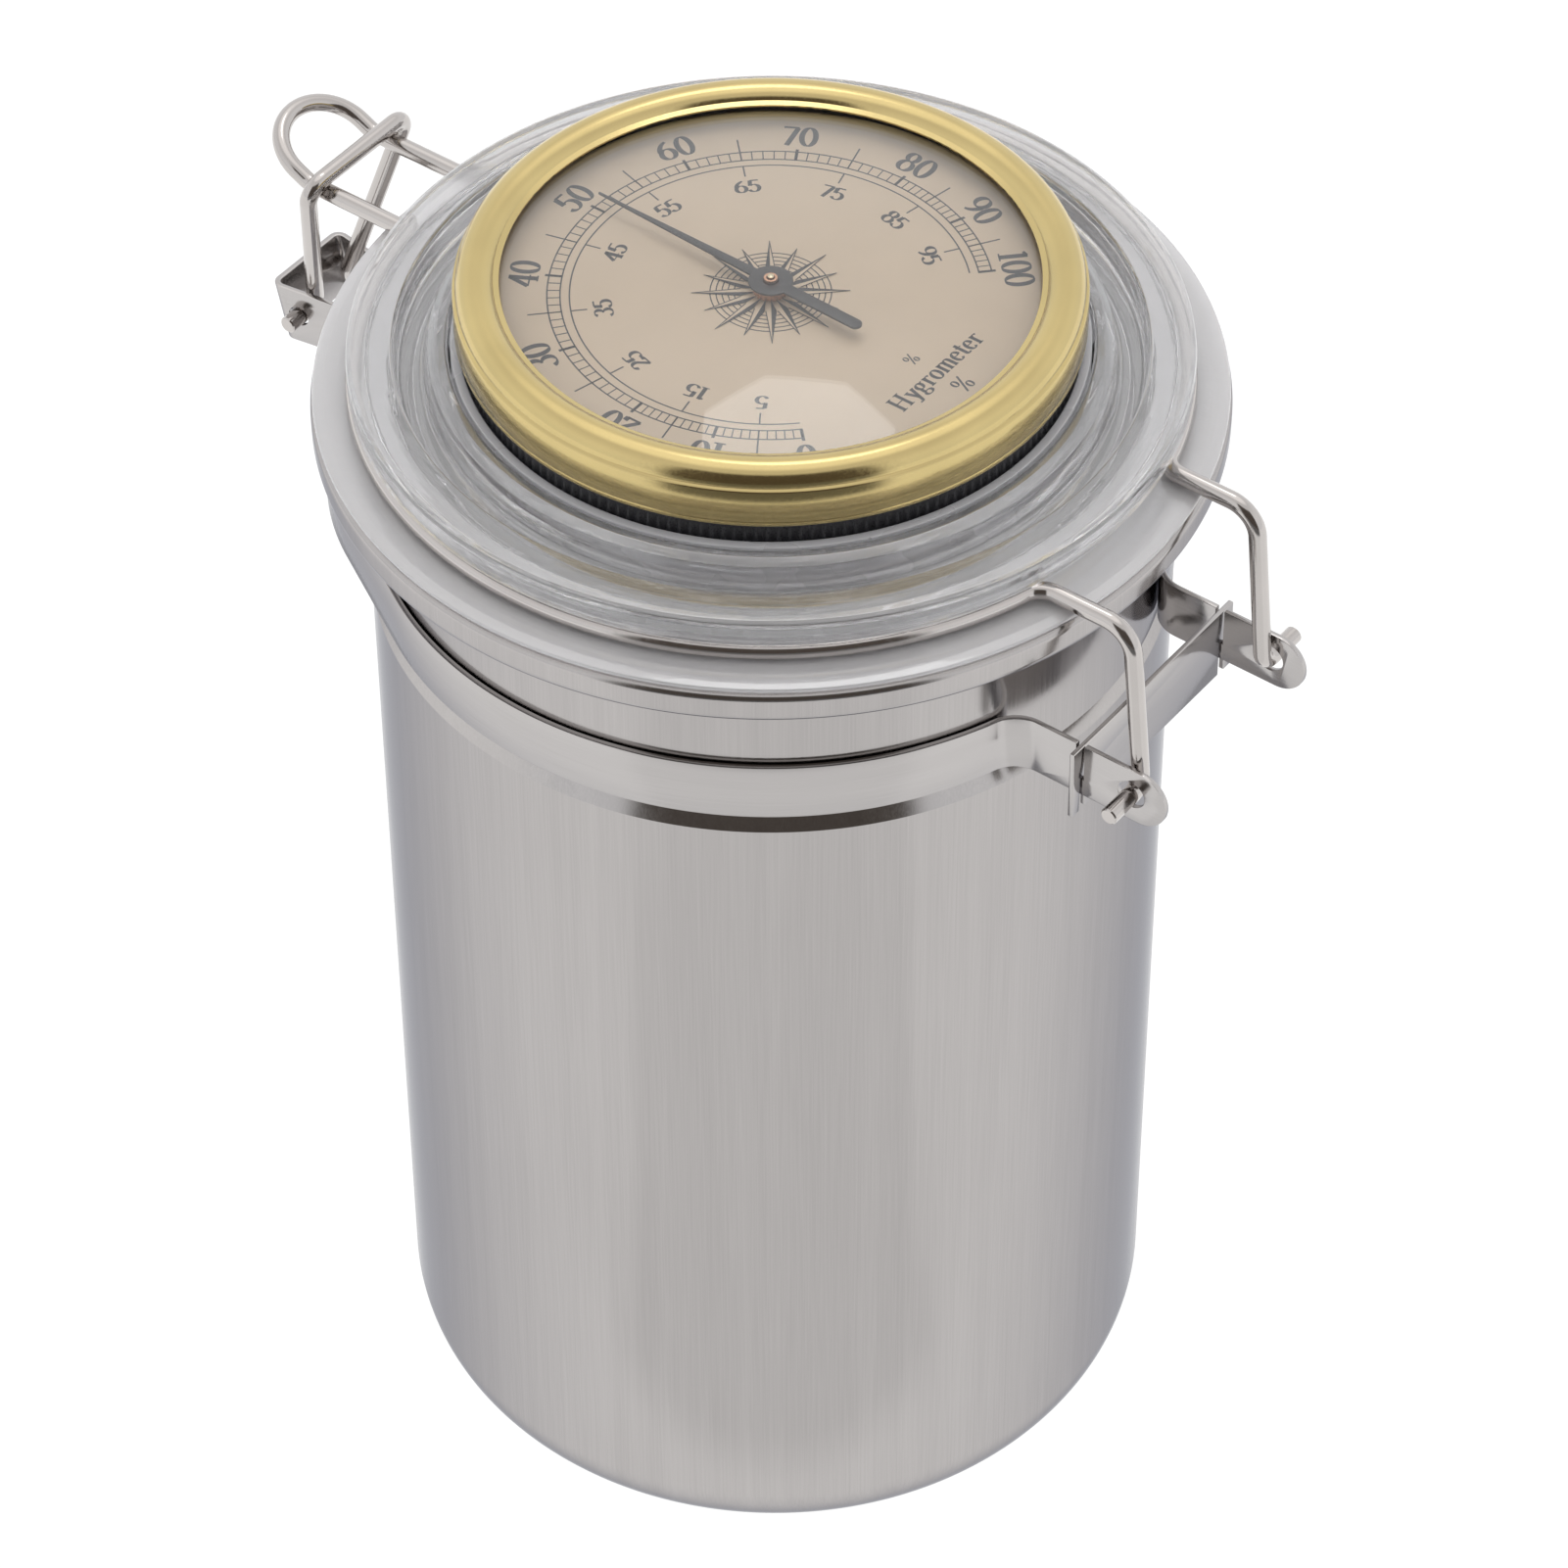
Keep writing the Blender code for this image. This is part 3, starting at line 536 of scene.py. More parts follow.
def make_jar():
    flare = (NECK_R + FLARE_ARC, FLARE_Z)
    foot = (FOOT_R - FOOT_ARC, FOOT_ARC)
    low, high = SHOULDER_Z
    inner_neck = NECK_R - WALL
    inner_body = BODY_R - WALL
    profile = [(0.0, WALL)]
    profile += arc(foot, FOOT_ARC - WALL, -90, 0, 16)
    profile += [(inner_body, low), (inner_neck, high)]
    profile += arc(flare, FLARE_ARC + WALL, 180, 122, 12)
    inner_arc, top_arc, foot_arc = HEM_ARCS
    profile += arc((HEM_INNER_R + inner_arc, RIM_TOP - inner_arc), inner_arc, 180, 90, 10)
    profile += arc((RIM_R - top_arc, RIM_TOP - top_arc), top_arc, 90, 0, 12)
    profile += arc((RIM_R - foot_arc, HEM_FOOT), foot_arc, 0, -75, 14)
    profile += arc(flare, FLARE_ARC, 105, 180, 14)
    profile += [(NECK_R, high), (BODY_R, low)]
    profile += arc(foot, FOOT_ARC, 0, -90, 20)
    profile += [(0.0, 0.0)]
    finish_piece("canister", lathe("canister", profile), STEEL, "jar", ["jar_body"], sharp=15)


def strap_half():
    """Half of the strip's centre line seen from above, from an ear's end to the bracket's middle."""
    leaves, ear_arc = leave_circle(STRAP_R, EAR_X, EAR_BEND)
    ear = [(EAR_X, EAR_END)]
    ear += list(reversed(ear_arc))
    neck = arc((0.0, 0.0), STRAP_R, leaves - 1.2, STANDOFF_ANGLE, 80)
    angle = math.radians(STANDOFF_ANGLE)
    start_x = STRAP_R * math.cos(angle) + STANDOFF_RUN * math.sin(angle)
    start_y = STRAP_R * math.sin(angle) - STANDOFF_RUN * math.cos(angle)
    front_r = start_x / math.cos(angle)
    front_y = start_y - front_r * math.sin(angle)
    root = math.degrees(math.asin((BRACKET_ROOT_HALF + 1.5) / front_r)) - 90.0
    front = arc((0.0, front_y), front_r, STANDOFF_ANGLE, root, 40)
    root_y = front_y - front_r * math.cos(math.asin(BRACKET_ROOT_HALF / front_r))
    corners = [(*front[-2], 0.0), (BRACKET_ROOT_HALF, root_y, 0.0), (BRACKET_HALF, BRACKET_Y, 0.0)]
    corners.append((0.0, BRACKET_Y, 0.0))
    bump = [(x, y) for x, y, _ in rounded(corners, (1.4, 1.2), 8)]
    return ear + neck + front[:-1] + bump[1:-1]


def strip_mesh(name, path, z_range, thickness):
    """An upright strip of even thickness along a path seen from above."""
    path = [Vector(point) for point in path]
    runs = [(b - a).normalized() for a, b in zip(path, path[1:])]
    points = []
    for i, point in enumerate(path):
        before = runs[max(0, i - 1)]
        after = runs[min(i, len(runs) - 1)]
        along = (before + after).normalized()
        across = Vector((-along.y, along.x)) * thickness / 2 / max(0.3, along.dot(before))
        for z in z_range:
            for side in (-1, 1):
                points.append((point.x + side * across.x, point.y + side * across.y, z))
    faces = [(0, 1, 3, 2)]
    for i in range(len(path) - 1):
        a = 4 * i
        b = a + 4
        faces += [(a, b, b + 1, a + 1), (a + 2, a + 3, b + 3, b + 2), (a, a + 2, b + 2, b), (a + 1, b + 1, b + 3, a + 3)]
    last = 4 * (len(path) - 1)
    faces.append((last, last + 2, last + 3, last + 1))
    return mesh_from(name, points, faces)


def make_strap():
    half = strap_half()
    strap = strip_mesh("strap", half + mirrored(half), STRAP_Z, STRAP_T)
    reach = 12.0
    for vertex in strap.vertices:
        outward = min(1.0, max(0.0, (-vertex.co.y / MM + BRACKET_Y + reach) / reach))
        share = (STRAP_Z[1] - vertex.co.z / MM) / (STRAP_Z[1] - STRAP_Z[0]) - 0.5
        vertex.co.y += BRACKET_LEAN * outward * share * MM
    middle_z = sum(STRAP_Z) / 2
    end_arc = (STRAP_Z[1] - STRAP_Z[0]) / 2
    corner = box_mesh("ear_corner", (-30.0, EAR_END - end_arc, 140.0), (30.0, EAR_END + 5.0, 175.0))
    corner = cut(corner, [rod_mesh("ear_round", (0.0, EAR_END - end_arc, middle_z), end_arc, 80.0, 96)])
    slot_half = STRAP_T / 2 + LAP_GAP
    slot = box_mesh(
        "ear_slots", (-30.0, TIE_Y - slot_half, STRAP_Z[1] - EAR_SLOT_DEPTH), (30.0, TIE_Y + slot_half, STRAP_Z[1] + 5.0)
    )
    holes = rod_mesh("ear_holes", (0.0, *HINGE), EAR_HOLE_R, 60.0)
    latch_holes = rod_mesh("latch_holes", (0.0, *LATCH), LATCH_HOLE_R, 30.0)
    strap = cut(strap, [corner, slot, holes, latch_holes])
    bevelled(strap, 0.12)
    finish_piece("neck_strip", strap, STRIP, "jar", ["neck_strap"])


def make_tie():
    tie = box_mesh("tie", TIE[0], TIE[1])
    slot_half = STRAP_T / 2 + LAP_GAP
    slot_top = STRAP_Z[1] - EAR_SLOT_DEPTH + LAP_GAP
    slots = []
    for side in (-1, 1):
        middle = side * EAR_X
        low = (middle - slot_half, TIE_Y - 2.0, TIE[0].z - 2.0)
        slots.append(box_mesh("tie_slot", low, (middle + slot_half, TIE_Y + 2.0, slot_top)))
    tie = cut(tie, slots)
    bevelled(tie, 0.15)
    finish_piece("cross_plate", tie, STRIP, "jar", ["tie_plate"])


def loop_point(x, along):
    """A point of the thumb loop, at a distance along its tilted plane from the kink."""
    tilt = math.radians(LOOP_TILT)
    return (x, KINK_Y - along * math.cos(tilt), RING_Z + along * math.sin(tilt))


def make_wires():
    leaves, arm_arc = leave_circle(RING_R, ARM_X, 3.5)
    loop_leaves, leg_arc = leave_circle(RING_R, LOOP_HALF, 3.0)
    arm_corners = [(PIN_TIP, *HINGE), (ARM_X, *HINGE), (ARM_X, ARM_BEND_Y, RING_Z), (ARM_X, 60.0, RING_Z)]
    half = rounded(arm_corners, (2.2, 4.5))[:-1]
    half += [(x, y, RING_Z) for x, y in reversed(arm_arc)]
    half += [(x, y, RING_Z) for x, y in arc((0.0, 0.0), RING_R, leaves - 1.5, 1.5 - loop_leaves, 110)]
    half += [(x, -y, RING_Z) for x, y in leg_arc]
    kink = [(LOOP_HALF, -60.0, RING_Z), (LOOP_HALF, KINK_Y, RING_Z), loop_point(LOOP_HALF, 2.0)]
    half += rounded(kink, (4.0,), 8)[1:-1]
    half += [loop_point(x, LOOP_RUN + y) for x, y in arc((0.0, 0.0), LOOP_HALF, 0, 88, 16)]
    finish_piece("ring_wire", tube("ring_wire", half + mirrored(half), WIRE_R), WIRE, "lid", ["lid_wire"])
    corners = [(BAIL_PIN_TIP, *LATCH), (BAIL_FOOT, *LATCH), BAIL_TOP, (0.0, *BAIL_TOP[1:])]
    half = rounded(corners, (1.9, 2.6))[:-1]
    finish_piece("bail", tube("bail", half + mirrored(half), WIRE_R), WIRE, "bail", ["bail_wire"])


# ---------------------------------------------------------------- lid


def make_lid():
    top = LID[1].z
    ring_top = 188.4
    hole_r = 43.4
    outer_r = 57.2
    collar = [(hole_r, 188.6), (43.8, top), (45.0, top), (46.2, 188.2)]
    trough = [(46.8, 184.8), (47.4, 184.4), (49.8, 184.4), (50.3, 184.8), (50.8, 188.0)]
    ring = [(51.2, ring_top), (56.4, ring_top), (57.0, 188.1), (outer_r, 187.5)]
    groove = [(outer_r, 184.55), (54.5, 184.55), (54.5, 181.9)]
    plug = [(51.5, 181.9), (51.5, 175.4), (51.1, 175.0), (49.2, 175.0), (48.9, 175.3)]
    underside = [(48.9, 180.0), (48.3, 181.0), (46.0, 181.0), (45.6, 180.6), (45.6, 178.0)]
    profile = softened(collar + trough + ring + groove + plug + underside + [(hole_r, 178.0)], 0.45)
    finish_piece("clear_lid", lathe("clear_lid", profile), ACRYLIC, "lid", ["lid_shell"])
    lip_low, lip_high = GASKET[1].z - 0.9, GASKET[1].z
    reach = GASKET[1].x
    reach = 62.0
    lip = [(51.8, lip_high), (60.4, lip_high), (61.3, lip_high - 0.12), (reach - 0.12, lip_high - 0.2)]
    lip += [(reach, lip_high - 0.45), (reach - 0.12, lip_low + 0.05)]
    skirt = [(60.6, lip_low), (53.2, lip_low), (53.2, GASKET[0].z), (51.8, GASKET[0].z)]
    profile = softened(lip + skirt, 0.12, 3)
    finish_piece("seal_ring", lathe("seal_ring", profile), SILICONE, "lid", ["lid_gasket"])
    sleeve = softened([(41.8, 188.9), (43.1, 188.9), (43.1, 178.4), (41.8, 178.4)], 0.2, 3)
    finish_piece("sleeve", lathe("sleeve", sleeve), SLEEVE, "lid", ["mounting_sleeve"])


# ---------------------------------------------------------------- hygrometer


def dome(top_z, edge_z, reach, steps):
    """Points of a shallow dome from the axis out to its edge."""
    rise = top_z - edge_z
    sphere_r = (reach**2 + rise**2) / (2 * rise)
    radii = [reach * i / steps for i in range(steps + 1)]
    return [(r, top_z - sphere_r + math.sqrt(sphere_r**2 - r**2)) for r in radii]


def knurl(count_per_tooth, depth, lowest, highest, least_r):
    """A ripple that cuts a tooth every few steps into the outer wall between two heights."""

    def cut_in(i, radius, z):
        if radius < least_r or not lowest <= z <= highest:
            return radius
        return radius - depth * (i % count_per_tooth >= count_per_tooth / 2)

    return cut_in


def make_instrument():
    ring_centre = (39.35, 197.85)
    ring_arc = 2.8
    skirt_r = 42.5
    foot = BEZEL[0].z
    outside = [(36.2, 198.85), (36.2, 199.1)] + arc(ring_centre, ring_arc, 148, 8, 40)
    outside += [(41.98, 198.1), (42.1, 197.98), (42.35, 197.9), (skirt_r, 197.7)]
    outside += [(skirt_r, foot + 0.9), (skirt_r - 0.06, foot + 0.75), (skirt_r, foot + 0.6)]
    outside += [(skirt_r, foot + 0.25), (skirt_r - 0.12, foot), (41.9, foot)]
    inside = [(41.9, 197.2)] + arc(ring_centre, ring_arc - 0.5, 8, 148, 24)
    finish_piece("gold_bezel", lathe("gold_bezel", outside + inside), BRASS, "lid", ["bezel"])

    glass_r = 41.0
    top = CRYSTAL[1].z
    edge = (CRYSTAL[0].z, CRYSTAL[0].z + 0.9)
    outside = dome(top, edge[1], glass_r, 28)
    inside = dome(top - 0.9, edge[0], glass_r, 28)
    finish_piece("dome_glass", lathe("dome_glass", outside + inside[::-1]), GLASS, "lid", ["crystal"])

    seal = arc((39.7, 198.75), 0.6, 90, -250, 17)
    finish_piece("glass_seal", lathe("glass_seal", seal), RUBBER, "lid", ["crystal_seal"])
    spacer = softened([(38.4, 196.4), (41.2, 196.4), (41.2, 195.75), (38.4, 195.75)], 0.1, 2)
    finish_piece("dial_spacer", lathe("dial_spacer", spacer), BLACK, "lid", ["spacer_ring"])
    dial = softened([(1.7, DIAL_TOP), (41.2, DIAL_TOP), (41.2, DIAL[0].z), (1.7, DIAL[0].z)], 0.05, 2)
    finish_piece("dial", lathe("dial", dial), DIAL_PAINT, "lid", ["dial_plate"])

    top, low = CASE[1].z, CASE[0].z
    barrel = [(39.6, top), (41.5, top), (41.5, 192.9), (41.5, 188.3), (41.2, 188.0), (41.2, low), (39.7, low)]
    ledge = [(39.7, 176.0), (35.5, 176.0), (35.5, 177.6), (39.6, 177.6)]
    teeth = knurl(4, 0.28, 188.2, 193.0, 41.4)
    case = lathe("case", barrel + ledge, 720, ripple=teeth)
    finish_piece("black_case", case, BLACK, "lid", ["instrument_case"])

    low, high = BUSH[0].z, BUSH[1].z
    bush = [(0.65, high), (2.2, high), (2.4, high - 0.25), (2.4, high - 0.9), (1.5, high - 1.0), (1.5, low), (0.65, low)]
    teeth = knurl(4, 0.16, high - 0.95, high - 0.2, 2.3)
    finish_piece("bush", lathe("bush", bush, 128, ripple=teeth), COPPER, "lid", ["upper_bush"])


def make_needle():
    boss_r = 3.0
    tail_half = 0.9
    root_half = 0.75
    tip_half = 0.14
    tip = 29.7
    tail_end = 15.2
    root = math.degrees(math.asin(root_half / boss_r))
    tail = math.degrees(math.asin(tail_half / boss_r))
    outline = [(-tip_half, -tip), (tip_half, -tip)]
    outline += arc((0.0, 0.0), boss_r, root - 90, 90 - tail, 36)
    outline += arc((0.0, tail_end - tail_half), tail_half, 0, 180, 20)
    outline += arc((0.0, 0.0), boss_r, 90 + tail, 270 - root, 36)
    mesh = slab("hand", outline, (POINTER[0].z, POINTER[1].z))
    mesh = cut(mesh, [rod_mesh("hand_hole", (0.0, 0.0, POINTER[0].z), 1.05, 4.0, 48, "Z")])
    bevelled(mesh, 0.06)
    mesh.transform(Matrix.Rotation(math.radians(-NEEDLE_DEGREES), 4, "Z"))
    finish_piece("hand", mesh, NEEDLE, "needle", ["pointer"])
    low, high = POINTER[0].z - 0.27, POINTER[1].z + 0.52
    collet = softened([(0.55, high), (0.95, high), (0.95, low), (0.55, low)], 0.12, 3)
    finish_piece("hand_collet", lathe("hand_collet", collet, 64), COPPER, "needle", ["pointer_collet"])


# ---------------------------------------------------------------- dial print


def scale_angle(value):
    """Degrees clockwise from -Y for a value in per cent."""
    inner = max(-30.0, min(30.0, value - 50.0))
    return inner * MIDDLE_DEGREES + (value - 50.0 - inner) * END_DEGREES


def on_dial(radius, degrees):
    """The point of the dial at a radius and an angle clockwise from -Y."""
    angle = math.radians(degrees)
    return (-radius * math.sin(angle), -radius * math.cos(angle))


class Print:
    """Collects thin solid strips of ink that lie on the dial."""

    def __init__(self, name, lift=0.0):
        self.name = name
        self.low = DIAL_TOP + 0.003 + lift
        self.points = []
        self.faces = []

    def strip(self, left, right, closed=False):
        """A strip between two lists of points."""
        base = len(self.points)
        for (lx, ly), (rx, ry) in zip(left, right):
            self.points += [(lx, ly, self.low), (rx, ry, self.low)]
            self.points += [(lx, ly, self.low + INK_T), (rx, ry, self.low + INK_T)]
        count = len(left)
        for i in range(count if closed else count - 1):
            a = base + 4 * i
            b = base + 4 * ((i + 1) % count)
            self.faces += [(a, b, b + 1, a + 1), (a + 2, a + 3, b + 3, b + 2)]
            self.faces += [(a, a + 2, b + 2, b), (a + 1, b + 1, b + 3, a + 3)]
        if not closed:
            last = base + 4 * (count - 1)
            self.faces += [(base, base + 1, base + 3, base + 2), (last, last + 2, last + 3, last + 1)]

    def line(self, start, end, width):
        start, end = Vector(start), Vector(end)
        across = (end - start).normalized().orthogonal() * width / 2
        self.strip([start - across, end - across], [start + across, end + across])

    def ring(self, radius, width, start=0.0, end=360.0):
        """A ring line, or an arc of one between two angles clockwise from -Y."""
        full = end - start >= 360.0
        steps = max(8, int((end - start) / 1.5))
        angles = [start + (end - start) * i / steps for i in range(steps if full else steps + 1)]
        inner = [on_dial(radius - width / 2, a) for a in angles]
        outer = [on_dial(radius + width / 2, a) for a in angles]
        self.strip(inner, outer, full)

    def radial(self, start_r, end_r, degrees, width):
        self.line(on_dial(start_r, degrees), on_dial(end_r, degrees), width)

    def piece(self, surface):
        mesh = bpy.data.meshes.new(self.name)
        mesh.from_pydata([Vector(point) * MM for point in self.points], [], self.faces)
        shape = bmesh.new()
        shape.from_mesh(mesh)
        bmesh.ops.recalc_face_normals(shape, faces=shape.faces)
        shape.to_mesh(mesh)
        shape.free()
        return finish_piece(self.name, mesh, surface, "lid")


def bow(cx, cy, rx, ry, start, end):
    """A stroke along part of an ellipse, in degrees, in a glyph's unit box."""
    steps = max(6, int(abs(end - start) / 12))
    angles = [math.radians(start + (end - start) * i / steps) for i in range(steps + 1)]
    return [(cx + rx * math.cos(a), cy + ry * math.sin(a)) for a in angles]


def run(*points):
    """A straight stroke through the points."""
    return list(points)


# Strokes of each glyph in a box one unit high, with its width. Thickness follows the direction:
# a stroke that runs up or down is thick and one that runs across is thin, as in a book face.
SIX = [bow(0.28, 0.29, 0.20, 0.27, 0, 360), bow(0.50, 0.36, 0.42, 0.60, 108, 172)]
GLYPHS = {
    "0": (0.56, [bow(0.28, 0.5, 0.20, 0.47, 0, 360)]),
    "1": (0.44, [run((0.24, 0.02), (0.24, 0.96)), run((0.24, 0.94), (0.08, 0.84)), run((0.08, 0.02), (0.40, 0.02))]),
    "2": (0.54, [bow(0.26, 0.72, 0.18, 0.25, 170, -30), run((0.42, 0.60), (0.07, 0.07)),
                 run((0.05, 0.07), (0.48, 0.07)), run((0.05, 0.04), (0.49, 0.04)), run((0.47, 0.04), (0.49, 0.22))]),
    "3": (0.52, [bow(0.23, 0.75, 0.17, 0.22, 160, -88), bow(0.23, 0.27, 0.21, 0.25, 88, -160)]),
    "4": (0.56, [run((0.38, 0.02), (0.38, 0.97)), run((0.38, 0.94), (0.04, 0.30)), run((0.03, 0.28), (0.52, 0.28)),
                 run((0.26, 0.02), (0.50, 0.02))]),
    "5": (0.52, [run((0.12, 0.93), (0.45, 0.93)), run((0.12, 0.96), (0.44, 0.96)), run((0.12, 0.94), (0.09, 0.52)),
                 bow(0.23, 0.31, 0.21, 0.29, 128, -155)]),
    "6": (0.56, SIX),
    "7": (0.52, [run((0.05, 0.93), (0.48, 0.93)), run((0.05, 0.96), (0.49, 0.96)), run((0.46, 0.93), (0.20, 0.0))]),
    "8": (0.56, [bow(0.28, 0.75, 0.16, 0.22, 0, 360), bow(0.28, 0.27, 0.20, 0.26, 0, 360)]),
    "9": (0.56, [[(0.56 - x, 1 - y) for x, y in stroke] for stroke in SIX]),
    "%": (0.84, [bow(0.20, 0.74, 0.12, 0.19, 0, 360), bow(0.64, 0.26, 0.12, 0.19, 0, 360),
                 run((0.66, 0.97), (0.18, 0.03))]),
    "H": (0.84, [run((0.18, 0.0), (0.18, 0.96)), run((0.64, 0.0), (0.64, 0.96)), run((0.18, 0.5), (0.64, 0.5)),
                 run((0.04, 0.02), (0.32, 0.02)), run((0.04, 0.94), (0.32, 0.94)),
                 run((0.50, 0.02), (0.78, 0.02)), run((0.50, 0.94), (0.78, 0.94))]),
    "y": (0.56, [run((0.12, 0.62), (0.30, 0.06)), run((0.47, 0.62), (0.26, -0.16)), bow(0.17, -0.16, 0.09, 0.08, 0, -150),
                 run((0.02, 0.62), (0.24, 0.62)), run((0.38, 0.62), (0.56, 0.62))]),
    "g": (0.54, [bow(0.24, 0.43, 0.15, 0.19, 0, 360), bow(0.25, -0.08, 0.18, 0.13, 0, 360),
                 run((0.14, 0.25), (0.12, 0.10)), bow(0.22, 0.11, 0.11, 0.06, 180, 270), run((0.36, 0.56), (0.50, 0.60))]),
    "r": (0.44, [run((0.15, 0.0), (0.15, 0.62)), bow(0.30, 0.45, 0.14, 0.15, 150, 40), run((0.03, 0.02), (0.28, 0.02)),
                 run((0.04, 0.61), (0.16, 0.61))]),
    "o": (0.52, [bow(0.25, 0.31, 0.18, 0.30, 0, 360)]),
    "m": (0.86, [run((0.14, 0.0), (0.14, 0.62)), bow(0.29, 0.42, 0.15, 0.19, 160, 0), run((0.43, 0.0), (0.43, 0.45)),
                 bow(0.57, 0.42, 0.14, 0.19, 160, 0), run((0.71, 0.0), (0.71, 0.45)), run((0.04, 0.61), (0.15, 0.61)),
                 run((0.04, 0.02), (0.24, 0.02)), run((0.33, 0.02), (0.53, 0.02)), run((0.61, 0.02), (0.81, 0.02))]),
    "e": (0.48, [bow(0.24, 0.31, 0.17, 0.30, 8, 318), run((0.08, 0.35), (0.40, 0.35))]),
    "t": (0.38, [run((0.17, 0.12), (0.17, 0.82)), run((0.03, 0.61), (0.34, 0.61)), bow(0.26, 0.13, 0.09, 0.11, 180, 330)]),
}
THICK_STROKE = 0.135
THIN_STROKE = 0.045


def write(ink, text, height, radius, degrees, upright=None, weight=1.0, width=1.0):
    """Writes text centred at a place on the dial, with its top outwards, or turned as upright says."""
    turn = math.radians(-(degrees if upright is None else upright))
    centre = Vector(on_dial(radius, degrees))
    right = Vector((-math.cos(turn), math.sin(turn)))
    up = Vector((math.sin(turn), -math.cos(turn)))
    right = Vector((-math.cos(-turn), math.sin(-turn)))
    total = sum(GLYPHS[letter][0] for letter in text)
    across = -total / 2
    for letter in text:
        advance, strokes = GLYPHS[letter]
        for stroke in strokes:
            closed = len(stroke) > 3 and math.dist(stroke[0], stroke[-1]) < 1e-6
            points = stroke[:-1] if closed else stroke
            count = len(points)
            left_side = []
            right_side = []
            for i, (x, y) in enumerate(points):
                before = points[i - 1] if closed or i else points[i]
                after = points[(i + 1) % count] if closed or i < count - 1 else points[i]
                along = Vector((after[0] - before[0], after[1] - before[1])).normalized()
                half = weight * (THIN_STROKE + (THICK_STROKE - THIN_STROKE) * abs(along.y) ** 1.5) / 2
                for side, sign in ((left_side, -1), (right_side, 1)):
                    gx = across + x - sign * along.y * half
                    gy = y - 0.5 + sign * along.x * half
                    side.append(tuple(centre + right * gx * height * width + up * gy * height))
            ink.strip(left_side, right_side, closed)
        across += advance


def make_dial_print():
    lines = Print("dial_scale")
    start, end = scale_angle(0), scale_angle(100)
    for radius in TRACK_R:
        lines.ring(radius, 0.2, start, end)
    lines.ring(INNER_LINE_R, 0.2, start, end)
    for value in range(101):
        degrees = scale_angle(value)
        lines.radial(*TRACK_R, degrees, 0.16)
        if value % 10 == 0:
            lines.radial(TRACK_R[0] - 0.1, TRACK_R[1] + 0.55, degrees, 0.42)
        elif value % 5 == 0:
            lines.radial(TRACK_R[0], 32.6, degrees, 0.22)
            lines.radial(INNER_LINE_R, 24.6, degrees, 0.22)
    lines.piece(INK)

    figures = Print("dial_figures")
    for value in range(0, 101, 10):
        write(figures, str(value), 4.1, 33.2, scale_angle(value), weight=1.2, width=1.16)
    for value in range(5, 100, 10):
        write(figures, str(value), 2.6, 22.5, scale_angle(value), weight=1.25, width=1.3)
    write(figures, "Hygrometer", 3.1, 27.0, 180.0, upright=0.0, weight=1.1, width=1.08)
    write(figures, "%", 2.2, 23.1, 180.0, upright=0.0, weight=0.8)
    write(figures, "%", 3.1, 31.4, 180.0, upright=0.0, weight=0.8)
    figures.piece(INK)

    rings = Print("rose_rings")
    for radius in (4.9, 5.7, 6.5, 7.3, 8.1):
        rings.ring(radius, 0.16)
    rings.piece(INK)
    pale = Print("rose_pale", 0.03)
    dark = Print("rose_dark", 0.06)
    points = 16
    base_r = 3.4
    for i in range(points):
        angle = 360.0 * i / points + 7.0
        tip_r = 10.6 if i % 2 == 0 else 9.6
        tip = Vector(on_dial(tip_r, angle))
        hub = Vector(on_dial(1.9, angle))
        for sheet, side in ((pale, 1), (dark, -1)):
            root = Vector(on_dial(base_r + 0.7, angle + side * 360.0 / points / 2 * 0.92))
            sheet.strip([hub, hub.lerp(tip, 0.5)], [root.lerp(hub, 0.05), root.lerp(tip, 0.03)])
            sheet.strip([hub.lerp(tip, 0.5), tip], [root.lerp(tip, 0.03), tip + (root - tip) * 0.02])
        edge = Vector(on_dial(base_r + 0.7, angle + 360.0 / points / 2 * 0.92))
        dark.line(edge, tip, 0.13)
    pale.piece(DIAL_PAINT)
    dark.piece(INK)


# ---------------------------------------------------------------- what shows only with the lid open


def make_rear():
    low, high = COVER[0].z, COVER[1].z
    cover = lathe("cover", softened([(5.5, high), (39.35, high), (39.35, low), (5.5, low)], 0.2, 3))
    vents = []
    for i in range(6):
        vent = slab("vent", softened([(12.0, -1.8), (31.0, -1.8), (31.0, 1.8), (12.0, 1.8)], 1.75, 8), (170.0, 180.0))
        vent.transform(Matrix.Rotation(math.radians(60 * i), 4, "Z"))
        vents.append(vent)
    screw_r = 37.4
    for i in range(3):
        angle = math.radians(30 + 120 * i)
        at = (screw_r * math.cos(angle), screw_r * math.sin(angle))
        vents.append(rod_mesh("screw_hole", (*at, 175.5), 1.05, 6.0, 32, "Z"))
        head_low, head_high = 173.9, 174.55
        profile = softened([(0.05, 177.3), (0.8, 177.3), (0.8, head_high), (1.8, head_high), (1.8, head_low), (0.05, head_low)], 0.2, 3)
        screw = lathe("screw", [(0.0, 177.3)] + profile[5:-5] + [(0.0, head_low)], 48, at)
        bars = [box_mesh("bar", (at[0] - 1.1, at[1] - 0.17, head_low - 1), (at[0] + 1.1, at[1] + 0.17, head_low + 0.35)),
                box_mesh("bar", (at[0] - 0.17, at[1] - 1.1, head_low - 1), (at[0] + 0.17, at[1] + 1.1, head_low + 0.35))]
        screw = cut(screw, bars)
        finish_piece(f"cross_screw_{i + 1}", screw, MOVEMENT, "lid", [f"cover_screw_{i + 1}"])
    cover = cut(cover, vents)
    bevelled(cover, 0.12, 50)
    finish_piece("vented_back", cover, BLACK, "lid", ["rear_cover"])


